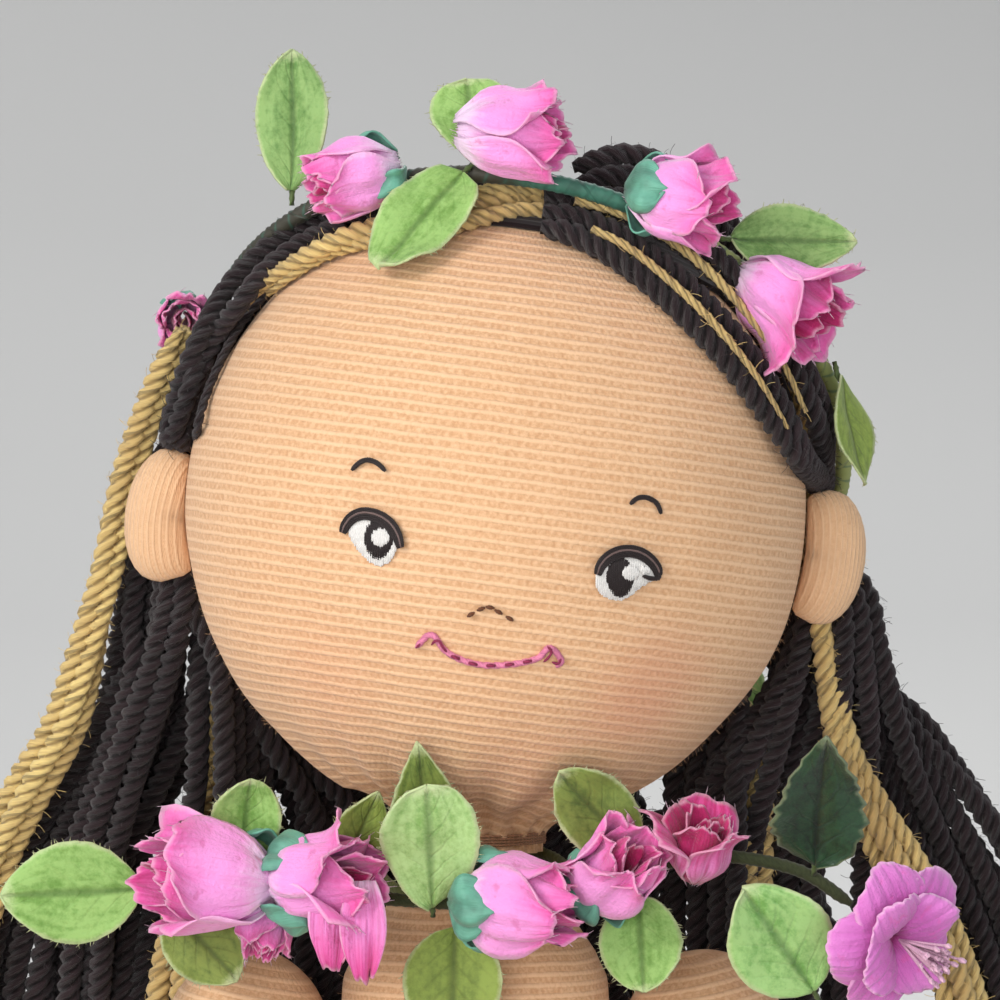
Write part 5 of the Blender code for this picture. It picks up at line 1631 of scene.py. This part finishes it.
def frayed_edge(name, turn, rows, finish):
    """Short threads that stand out round the edge of a cut cloth leaf."""
    skein = Skein()
    rng = random.Random(name)
    for column, inner in ((0, 1), (-1, -2)):
        for i in range(2, len(rows) - 1):
            out = (rows[i][column] - rows[i][inner]).normalized()
            along = (rows[i + 1][column] - rows[i - 1][column]).normalized()
            way = (out * 0.6 + along * rng.uniform(-0.2, 1.2)).normalized()
            start = rows[i][column] - out * 0.35 * MM
            reach = rng.uniform(0.5, 1.2) * MM
            lift = Vector((0, rng.uniform(-0.25, 0.25) * MM, 0))
            line = [turn @ start, turn @ (start + way * reach * 0.5 + lift), turn @ (start + way * reach)]
            skein.add(line, rng.uniform(0.06, 0.11) * MM, 0.6, (1, 0.4))
    return skein.spin(name, finish, 3 * MM, 0.4 * MM, 3, 1, 0.0)


# The crown: its plane in the head's frame, and each item's way, size, turn, openness, cups and depth of tone
CROWN_RISE = 13.4 * MM
CROWN_BACK = 13.4 * MM
CROWN_LEAN = math.radians(45)
CROWN_TURN = Matrix.Rotation(math.radians(8), 3, "Y")
CROWN_LIFT = 6.6 * MM
CROWN_ROSES = {
    "crown_rose_1": ((1, -0.15, 0.10), 1.05, 4.3, 0.5, 0, 0.0),
    "crown_rose_2": ((0.98, -0.25, 0), 0.95, 0.9, 1.2, 3, 0.1),
    "crown_rose_3": ((0.82, -0.30, -0.42), 1.05, 1.7, 1.5, 0, 0.3),
    "crown_rose_4": ((0.10, -0.95, -0.10), 0.64, 0.5, 0.8, 2, 0.2),
    "crown_rose_5": ((1, 0.20, 0), 1.0, 1.1, 1.0, 3, 0.0),
    "crown_bud": ((-0.90, -0.20, -0.45), 0.88, 2.3, 0.4, 2, 0.1),
}
# Leaf rows: way, length, width, finish, teeth, then the shape as in leaf_rows
CROWN_LEAVES = {
    "crown_leaf_1": ((-0.14, 0, 1), 1.20, 0.94, "mild", 0, (0.5, 0.45, 0.3, 0.52, 0.72, 0.8)),
    "crown_leaf_2": ((-0.55, -0.50, -0.80), 1.15, 0.95, "leaf", 0, (0.5, 0.30, 0.3, 0.46, 0.36, 0.9)),
    "crown_leaf_3": ((-0.25, 0.30, 0.95), 0.66, 1.00, "leaf", 0, (0.4, 0.10, -0.2, 0.60, 0.36, 0.6)),
    "crown_leaf_4": ((0.95, 0.10, 0.10), 1.05, 0.90, "mild", 0, (-0.4, 0.28, 0.2, 0.45, 0.75, 0.6)),
    "crown_leaf_5": ((0.38, -0.15, -0.91), 0.95, 0.85, "olive", 0, (0.4, 0.25, 0.2, 0.45, 0.80, 0.5)),
    "crown_leaf_6": ((0.6, 0.6, -0.5), 1.10, 0.90, "leaf", 0, (0.5, 0.20, 0.1, 0.45, 0.80, 0.5)),
    "crown_leaf_7": ((-0.6, 0.6, -0.5), 1.10, 0.90, "leaf", 0, (0.5, 0.20, 0.1, 0.45, 0.80, 0.5)),
}
# How far the faces of some leaves turn from the head's surface to the front
CROWN_AHEAD = {
    "crown_leaf_1": 2.0, "crown_leaf_2": 1.0, "crown_leaf_3": 2.0, "crown_leaf_4": 2.0, "crown_leaf_5": 0.4,
}


def crown_point(angle, lift):
    """A point of the crown's slanting plane, lift outside the head, at an angle from the left side."""
    start = CROWN_TURN @ Vector((0, CROWN_BACK, CROWN_RISE))
    way = CROWN_TURN @ Vector(
        (math.cos(angle), -math.sin(angle) * math.cos(CROWN_LEAN), math.sin(angle) * math.sin(CROWN_LEAN))
    )
    a = b = c = 0
    for i, half in enumerate(HEAD_HALF):
        a += (way[i] / (half + lift)) ** 2
        b += way[i] * start[i] / (half + lift) ** 2
        c += (start[i] / (half + lift)) ** 2
    reach = (math.sqrt(b * b - a * (c - 1)) - b) / a
    return HEAD_PLACE @ (start + way * reach)


def bar(name, path, radius, finish, closed=False, lobe=0.06):
    """A wound round bar along a path."""
    skein = Skein()
    if closed:
        path = [*path, path[0]]
    skein.add(path, radius, 0.5, (1, 1) if closed else (0.7, 0.5))
    return skein.spin(name, finish, 9 * MM, 1.2 * MM, 14, 4, lobe)


def middle_of(node):
    low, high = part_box(node)
    return (low + high) / 2


def build_crown(finishes):
    path = ring_of(96, crown_point, CROWN_LIFT)
    band = bar("crown_wire", path, 1.35 * MM, finishes["band"], True)
    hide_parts("crown_band")
    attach(band, "crown")
    for node, (way, size, turn, openness, cups, depth) in CROWN_ROSES.items():
        matrix = frame_of(HEAD_TURN @ Vector(way), from_head(middle_of(node))).to_4x4()
        made = rose(node + "_cloth", matrix, size, turn, rose_finishes(finishes), openness, cups, depth)
        finish_item(made, node, "crown", "petal_pink")
    for node, (way, long, wide, tone, teeth, shape) in CROWN_LEAVES.items():
        front = from_head(middle_of(node)) + FRONT * CROWN_AHEAD.get(node, 0)
        turn = frame_of(HEAD_TURN @ Vector(way), front)
        made = leaf(node + "_cloth", turn, node, long, wide, shape, leaf_finishes(finishes, tone), teeth)
        finish_item(made, node, "crown", LEAF_SLOTS[tone])


def finish_item(made, node, body, slot):
    centred(made, node)
    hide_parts(node)
    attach(made, body)


LEAF_SLOTS = {
    "leaf": "leaf_green", "pale": "leaf_green", "mild": "leaf_green", "gloss": "leaf_gloss",
    "olive": "leaf_olive", "deep": "leaf_olive", "dark": "leaf_olive",
}


def leaf_finishes(finishes, tone):
    return [finishes[tone], finishes["stalk"], finishes["fray"]]


def rose_finishes(finishes):
    return [finishes["petal"], finishes["calyx"], finishes["torn"]]


# The garland: each flower's way, size, turn, openness, cups, depth of tone and loose hanging petals
GARLAND_ROSES = {
    "garland_rose_1": ((-0.95, -0.25, 0.10), 1.28, 0.4, 0.7, 1, 0.0, 0),
    "garland_rose_2": ((0.80, -0.50, 0.10), 1.12, 1.0, 0.8, 3, 0.0, 2),
    "garland_rose_3": ((0.95, -0.30, -0.05), 1.15, 4.5, 0.35, 3, 0.0, 0),
    "garland_rose_4": ((0.50, -0.66, 0.55), 0.98, 2.0, 0.6, 3, 0.12, 0),
    "garland_rose_5": ((0.16, -0.40, 0.92), 0.72, 0.7, 1.8, 1, 0.75, 0),
    "garland_bud": ((-0.08, -0.60, -1.00), 0.62, 0.3, 0.5, 0, 0.1, 0),
}
GARLAND_LEAVES = {
    "garland_leaf_1": ((-1, -0.02, -0.04), 1.16, 1.25, "leaf", 0, (-0.4, 0.15, 0.1, 0.48, 0.70, 0.4)),
    "garland_leaf_2": ((0.10, -0.25, 1), 0.78, 0.85, "leaf", 0, (-0.4, 0.20, 0.4, 0.55, 0.55, 0.6)),
    "garland_leaf_3": ((0.80, -0.08, -0.80), 0.85, 0.95, "deep", 0, (-0.4, 0.12, 0.2, 0.50, 0.65, 0.5)),
    "garland_leaf_4": ((0.35, -0.35, 0.85), 0.82, 0.66, "olive", 0, (-0.4, 0.25, 0.3, 0.45, 0.80, 0.5)),
    "garland_leaf_5": ((-0.08, -0.55, 1), 1.32, 0.95, "deep", 0, (0.3, 0.30, 0.1, 0.38, 0.95, 0.5)),
    "garland_leaf_6": ((-0.03, -0.75, 1), 1.22, 1.20, "pale", 0, (0.5, 0.10, 0.1, 0.60, 0.50, 0.9)),
    "garland_leaf_7": ((-0.05, -0.15, -1), 1.10, 1.20, "olive", 0, (0.3, 0.22, 0.1, 0.42, 0.75, 0.6)),
    "garland_leaf_8": ((-0.75, -0.42, 0.80), 1.03, 0.92, "deep", 0, (-0.2, 0.35, 0.4, 0.50, 0.62, 1.0)),
    "garland_leaf_9": ((0.05, -0.25, -0.95), 0.80, 1.00, "leaf", 0, (0.3, 0.20, 0.2, 0.50, 0.55, 0.6)),
    "spray_leaf_1": ((0.03, -0.60, 0.85), 1.40, 1.10, "dark", 9, (-0.3, 0.40, 0.2, 0.34, 0.95, 0.9)),
    "spray_leaf_2": ((-0.52, -0.40, 0.78), 1.12, 1.30, "gloss", 0, (0.5, 0.25, 0.3, 0.48, 0.68, 0.7)),
}
# The stem's line, in shares of the head's width from the doll's middle at the head's height
STEM_SHARES = (
    (-0.500, -0.200, -0.590), (-0.430, -0.205, -0.590), (-0.240, -0.208, -0.600), (0.060, -0.210, -0.615),
    (0.220, -0.210, -0.575), (0.360, -0.208, -0.540), (0.500, -0.200, -0.560), (0.590, -0.195, -0.615),
)


UNFRAYED = ("dark", "gloss")


def build_garland(finishes):
    path = smooth_path([Vector((0, 0, HEAD_AT.z)) + Vector(share) * HEAD_WIDTH for share in STEM_SHARES], 60)
    stem = bar("garland_wire", path, 1.0 * MM, finishes["stem"])
    low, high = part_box("garland_cord")
    middle = (low + high) / 2
    along = Vector((0, low.y + 0.9 * MM - middle.y, low.z + 0.9 * MM - middle.z))
    loop = oval(middle, 13.4 * MM, along.length, 96, RIGHT, along.normalized())
    cord = Skein()
    cord.add([*loop, loop[0]], 0.9 * MM, 0.4, (1, 1))
    cord = cord.spin("garland_yarn", finishes["cord"], 4 * MM, 0.8 * MM, 9, 3, 0.2)
    for made, node, slot in ((stem, "garland_stem", "band_green"), (cord, "garland_cord", "garland_cord")):
        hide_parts(node)
        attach(made, "torso")
    for node, (way, *row) in GARLAND_ROSES.items():
        matrix = frame_of(Vector(way), FRONT).to_4x4()
        size, turn, *rest = row
        made = rose(node + "_cloth", matrix, size, turn, rose_finishes(finishes), *rest)
        finish_item(made, node, "torso", "petal_pink")
    for node, (way, long, wide, tone, teeth, shape) in GARLAND_LEAVES.items():
        turn, cloths, fray = frame_of(Vector(way), FRONT), leaf_finishes(finishes, tone), tone not in UNFRAYED
        made = leaf(node + "_cloth", turn, node, long, wide, shape, cloths, teeth, fray)
        finish_item(made, node, "torso", LEAF_SLOTS[tone])
    build_open_flower(finishes)


def fan_petal(turn, long, wide, lean, seed, rows=13, columns=21):
    """Rows of a broad round petal that spreads from the flower's middle, with ribs and a waved edge."""
    def point(share, side):
        half = wide / 2 * math.sin(math.pi * (0.07 + 0.60 * share)) ** 0.75
        slope = math.radians(lean[0] + (lean[1] - lean[0]) * share)
        far = long * share * (1 - 0.34 * side * side)
        rib = 0.26 * MM * math.cos(side * 20) * share
        wave = 0.7 * MM * math.sin(side * 4 + seed) * share**3
        out = math.sin(slope) * far + wide * 0.05
        return turned_flat(out, side * half, turn, math.cos(slope) * far + rib + wave)

    return sheet_rows(rows, columns, point)


# Petals of each whorl of the open flower: how many, lean in degrees at foot and tip, size
OPEN_WHORLS = ((5, (35, 88), 1.0), (4, (20, 60), 0.82))
STAMENS = 26
# Knots of a stamen and of its head, in shares of its length, with half thickness in mm, tone and tips
STAMEN_PARTS = (
    ((0, 0.35, 0.7, 1), 0.24, 0.5, (0.8, 1)),
    ((0.98, 1.02, 1.08, 1.12), 0.5, 0.9, (0.5, 0.5)),
)


def build_open_flower(finishes):
    """The spread flower at the garland's left end, with ribbed petals round a tuft of stamens."""
    matrix = frame_of(Vector((0.58, -0.75, -0.32)), FRONT).to_4x4()
    cloth = Cloth()
    for layer, (count, lean, size) in enumerate(OPEN_WHORLS):
        for k in range(count):
            turn = TAU * (k + layer * 0.5 + 0.2) / count
            cloth.add(fan_petal(turn, 11.5 * MM * size, 12.5 * MM * size, lean, k * 1.7), 0, 0.2 * layer)
    made = cloth.sew("spray_petals", matrix, [finishes["orchid"]], 0.3 * MM)
    rng = random.Random(sizes().seed + 5)
    skein = Skein()
    for k in range(STAMENS):
        angle = TAU * k / STAMENS + rng.uniform(-0.1, 0.1)
        lean = rng.uniform(0.05, 0.42)
        top = Vector((math.cos(angle) * lean, math.sin(angle) * lean, 1)).normalized()
        top = top * rng.uniform(7.5, 9.5) * MM
        for shares, radius, tone, tips in STAMEN_PARTS:
            skein.add([matrix @ (top * s + UP * 2 * MM) for s in shares], radius * MM, tone, tips)
    tuft = skein.spin("spray_stamens", finishes["stamen"], 3 * MM, 0.5 * MM, 6, 1, 0)
    made = joined("spray_flower_cloth", [made, tuft])
    finish_item(made, "spray_flower", "torso", "petal_magenta")


# The stage


# The backdrop's line from front to back and up, in metres, and half its width
BACKDROP_LINE = (
    (-6, 0.0), (0.6, 0.0), (0.9, 0.02), (1.15, 0.10), (1.32, 0.26), (1.42, 0.50), (1.45, 0.9), (1.45, 2.6),
)
BACKDROP_SIDE = 6
# Square lamps: place and side in metres, power and tint
LAMPS = {
    "key": ((-0.85, -0.95, 0.70), 0.55, 9.9, (1.0, 0.97, 0.94)),
    "fill": ((0.80, -0.95, 0.15), 0.9, 2.9, (0.95, 0.97, 1.0)),
    "low": ((-0.22, -1.0, 0.08), 0.5, 5.6, (1.0, 0.97, 0.95)),
    "rim": ((0.2, 0.75, 0.95), 0.6, 6, (1, 1, 1)),
}
LAMP_AIM = Vector((0, 0, 0.11))
# The sky's strength as light, and what is added where it is seen itself, mirrored or through a sheet
SKY_STRENGTH, SKY_MORE = 0.46, 0.34
SENSOR = 36


def build_stage():
    paper = Finish("floor_paper", 0.9)
    cloud = paper.noise(paper.place, 3, 2)
    paper.connect("Base Color", paper.mix(cloud, srgb(208, 208, 206), srgb(216, 216, 214)))
    see_through_from_behind(paper)
    points = [Vector((x, y, z)) for y, z in BACKDROP_LINE for x in (-BACKDROP_SIDE, BACKDROP_SIDE)]
    faces = [(k, k + 1, k + 3, k + 2) for k in range(0, len(points) - 2, 2)]
    floor = new_object("backdrop", points, faces, paper)
    for name, row in LAMPS.items():
        lamp(name, *row)
    world = bpy.data.worlds.new("studio")
    bpy.context.scene.world = world
    world.use_nodes = True
    sky = Graph(world.node_tree)
    rays = ("Is Camera Ray", "Is Glossy Ray", "Is Transmission Ray")
    seen, glossy, through = sky.node("ShaderNodeLightPath", output=rays)
    background = world.node_tree.nodes["Background"]
    background.inputs["Color"].default_value = (0.93, 0.95, 1.0, 1)
    strength = seen.call("MAXIMUM", glossy).call("MAXIMUM", through) * SKY_MORE + SKY_STRENGTH
    world.node_tree.links.new(strength.socket, background.inputs["Strength"])
    camera = bpy.data.cameras.new("camera")
    camera.sensor_width = SENSOR
    camera.lens = SENSOR * CAMERA_DISTANCE / (PHOTO_SIZE * PIXEL)
    camera.clip_start = 0.01
    holder = bpy.data.objects.new("camera", camera)
    bpy.context.scene.collection.objects.link(holder)
    holder.location = CAMERA_AT
    holder.rotation_euler = (math.radians(90), 0, 0)
    bpy.context.scene.camera = holder
    bpy.context.scene.view_settings.view_transform = "Standard"


def see_through_from_behind(finish):
    """Lets a camera behind the backdrop see the doll, with the light left as it is."""
    behind = finish.node("ShaderNodeNewGeometry", output="Backfacing")
    seen = finish.node("ShaderNodeLightPath", output="Is Camera Ray")
    output = next(node for node in finish.tree.nodes if node.type == "OUTPUT_MATERIAL")
    surface = Value(finish, output.inputs["Surface"].links[0].from_socket)
    clear = finish.node("ShaderNodeBsdfTransparent")
    mixed = finish.node("ShaderNodeMixShader", sockets={0: behind * seen, 1: surface, 2: clear})
    finish.tree.links.new(mixed.socket, output.inputs["Surface"])


def lamp(name, place, size, power, tint):
    light = bpy.data.lights.new(name, "AREA")
    light.size, light.energy, light.color = size, power, tint
    holder = bpy.data.objects.new(name, light)
    bpy.context.scene.collection.objects.link(holder)
    holder.location = place
    holder.rotation_euler = (LAMP_AIM - Vector(place)).to_track_quat("-Z", "Y").to_euler()


# Operators, panel and main


class PieceOperator:
    bl_options = {"REGISTER", "UNDO"}

    def execute(self, context):
        self.build()
        return {"FINISHED"}


class DOLL_OT_head(PieceOperator, bpy.types.Operator):
    """Make the knitted head with its ears and the thread round the neck"""

    bl_idname = "doll.head"
    bl_label = "Head"

    def build(self):
        up, across = HEAD_TURN @ UP, HEAD_TURN @ RIGHT
        cheeks = ((on_face(652, 690, 0), 14 * MM, 0.24), (on_face(325, 668, 0), 12 * MM, 0.08))
        knit = knit_finish("knit_head", HEAD_AT, up, across, 45 * MM, 45 * MM, cheeks)
        head = nap(stuffed_head(knit), knit, 22)
        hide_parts("head_skin", "head_core")
        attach(head, "head")
        for name in EAR_RISE_SHARES:
            low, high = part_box(name)
            slant = (across * 0.75 + FRONT * (-0.66 if name == "ear_left" else 0.66)).normalized()
            pad = knit_finish("knit_" + name, (low + high) / 2, slant, up, 9 * MM, fine=0.45)
            made = nap(ear(name, pad), pad, 22)
            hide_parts(name)
            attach(made, "head")
        tie = neck_thread(thread_finish("neck_thread", srgb(190, 140, 104)))
        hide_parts("neck_tie")
        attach(tie, "head")


class DOLL_OT_face(PieceOperator, bpy.types.Operator):
    """Embroider the eyes, brows, nose and mouth"""

    bl_idname = "doll.face"
    bl_label = "Face"

    def build(self):
        build_face()


class DOLL_OT_body(PieceOperator, bpy.types.Operator):
    """Sew and stuff the torso, the arms and the legs"""

    bl_idname = "doll.body"
    bl_label = "Body"

    def build(self):
        knit = knit_finish("knit_torso", Vector((0, 0, 50 * MM)), UP, RIGHT, 28 * MM)
        self.add(("torso_skin", "torso_stuffing"), "torso_stuffing", "torso", knit, 1.7 * MM)
        for side, sign in (("left", 1), ("right", -1)):
            lean = math.radians(11)
            axis = Vector((-sign * math.sin(lean), 0, math.cos(lean)))
            middle = middle_of("arm_" + side)
            knit = knit_finish("knit_arm_" + side, middle, axis, axis.cross(FRONT).normalized(), 11.5 * MM)
            self.add(("arm_" + side,), "arm_" + side, "arm_" + side, knit, 0.25 * MM)
            middle = middle_of("leg_" + side)
            knit = knit_finish("knit_leg_" + side, middle, FRONT, RIGHT, 12.5 * MM, foot=True)
            self.add(("leg_" + side,), "leg_" + side, "leg_" + side, knit, 0.25 * MM)

    @staticmethod
    def add(nodes, source, body, knit, swell):
        made = nap(stuffed(source, body + "_cloth", knit, swell), knit, 14)
        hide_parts(*nodes)
        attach(made, body)


class DOLL_OT_hair(PieceOperator, bpy.types.Operator):
    """Lay the yarn hair over the head and let its locks fall"""

    bl_idname = "doll.hair"
    bl_label = "Hair"

    def build(self):
        dark, gold = tuple(colours().dark), tuple(colours().gold)
        finishes = {}
        # Shares of each yarn's colour for its base, its lighter fibres and the painted shade in its furrows
        for name, value, shares in (("dark", dark, (0.6, 1.15, 0.2)), ("gold", gold, (0.84, 1.35, 0.42))):
            finishes[name] = yarn_finish("yarn_" + name, *(scaled(value, share) for share in shares))
        base = yarn_finish("hair_base", scaled(dark, 0.4), scaled(dark, 0.9), dark)
        build_cap(base, finishes["dark"])
        build_locks(finishes)
        build_fringes(finishes)


class DOLL_OT_flowers(PieceOperator, bpy.types.Operator):
    """Make the flower crown and the garland at the neck"""

    bl_idname = "doll.flowers"
    bl_label = "Flowers and leaves"

    def build(self):
        pink, lilac = tuple(colours().pink), tuple(colours().lilac)
        magenta, crimson = tuple(colours().magenta), tuple(colours().crimson)
        orchid = srgb(164, 56, 128), srgb(208, 108, 190), srgb(224, 136, 210)
        finishes = {
            "petal": petal_finish("petal_pink", lilac, pink, magenta, crimson),
            "orchid": petal_finish("petal_orchid", *orchid, magenta),
            "calyx": calyx_finish("calyx", tuple(colours().calyx)),
            "torn": thread_finish("torn_thread", srgb(246, 214, 232), 0.8),
            "leaf": leaf_finish("leaf_light", tuple(colours().leaf), srgb(152, 192, 108), veined=0.10),
            "olive": leaf_finish("leaf_olive", tuple(colours().olive), srgb(140, 162, 72)),
            "pale": leaf_finish("leaf_pale", srgb(128, 172, 90), srgb(180, 214, 142), veined=0.10),
            "mild": leaf_finish("leaf_mild", srgb(88, 130, 60), srgb(140, 176, 104), veined=0.15),
            "deep": leaf_finish("leaf_deep", srgb(84, 106, 40), srgb(126, 144, 64)),
            "dark": leaf_finish("leaf_dark", srgb(12, 34, 22), srgb(34, 68, 42), 0.36, 0.5, 0.22),
            "gloss": leaf_finish("leaf_gloss", srgb(106, 160, 76), srgb(160, 202, 124), 0.34, 0.15),
            "stalk": thread_finish("stalk_green", srgb(96, 116, 66)),
            "fray": thread_finish("fray_thread", srgb(218, 222, 172), 0.8),
            "band": wound_finish("band_tape", tuple(colours().band)),
            "stem": thread_finish("stem_olive", srgb(66, 74, 46), 0.8),
            "cord": thread_finish("cord_olive", srgb(110, 120, 70), 0.8),
            "stamen": thread_finish("stamen_pink", srgb(236, 190, 214)),
        }
        build_crown(finishes)
        build_garland(finishes)


class DOLL_OT_stage(PieceOperator, bpy.types.Operator):
    """Set the floor, the lamps and the camera"""

    bl_idname = "doll.stage"
    bl_label = "Stage"

    def build(self):
        build_stage()


STEPS = (DOLL_OT_head, DOLL_OT_face, DOLL_OT_body, DOLL_OT_hair, DOLL_OT_flowers, DOLL_OT_stage)


class DOLL_PT_pieces(bpy.types.Panel):
    """Lists the steps that make the doll, and its sizes and colours"""

    bl_idname = "DOLL_PT_pieces"
    bl_label = "Waldorf doll"
    bl_space_type = "VIEW_3D"
    bl_region_type = "UI"
    bl_category = "Doll"

    def draw(self, context):
        for group in (context.scene.doll_sizes, context.scene.doll_colours):
            box = self.layout.box()
            for key in group.__annotations__:
                box.prop(group, key)
        for step in STEPS:
            self.layout.operator(step.bl_idname)


CLASSES = (DollSizes, DollColours, *STEPS, DOLL_PT_pieces)


def register():
    for item in CLASSES:
        bpy.utils.register_class(item)
    bpy.types.Scene.doll_sizes = PointerProperty(type=DollSizes)
    bpy.types.Scene.doll_colours = PointerProperty(type=DollColours)


def unregister():
    del bpy.types.Scene.doll_colours
    del bpy.types.Scene.doll_sizes
    for item in reversed(CLASSES):
        bpy.utils.unregister_class(item)


def main():
    register()
    bpy.ops.doll.head()
    bpy.ops.doll.face()
    bpy.ops.doll.body()
    bpy.ops.doll.hair()
    bpy.ops.doll.flowers()
    bpy.ops.doll.stage()


if __name__ == "__main__":
    main()
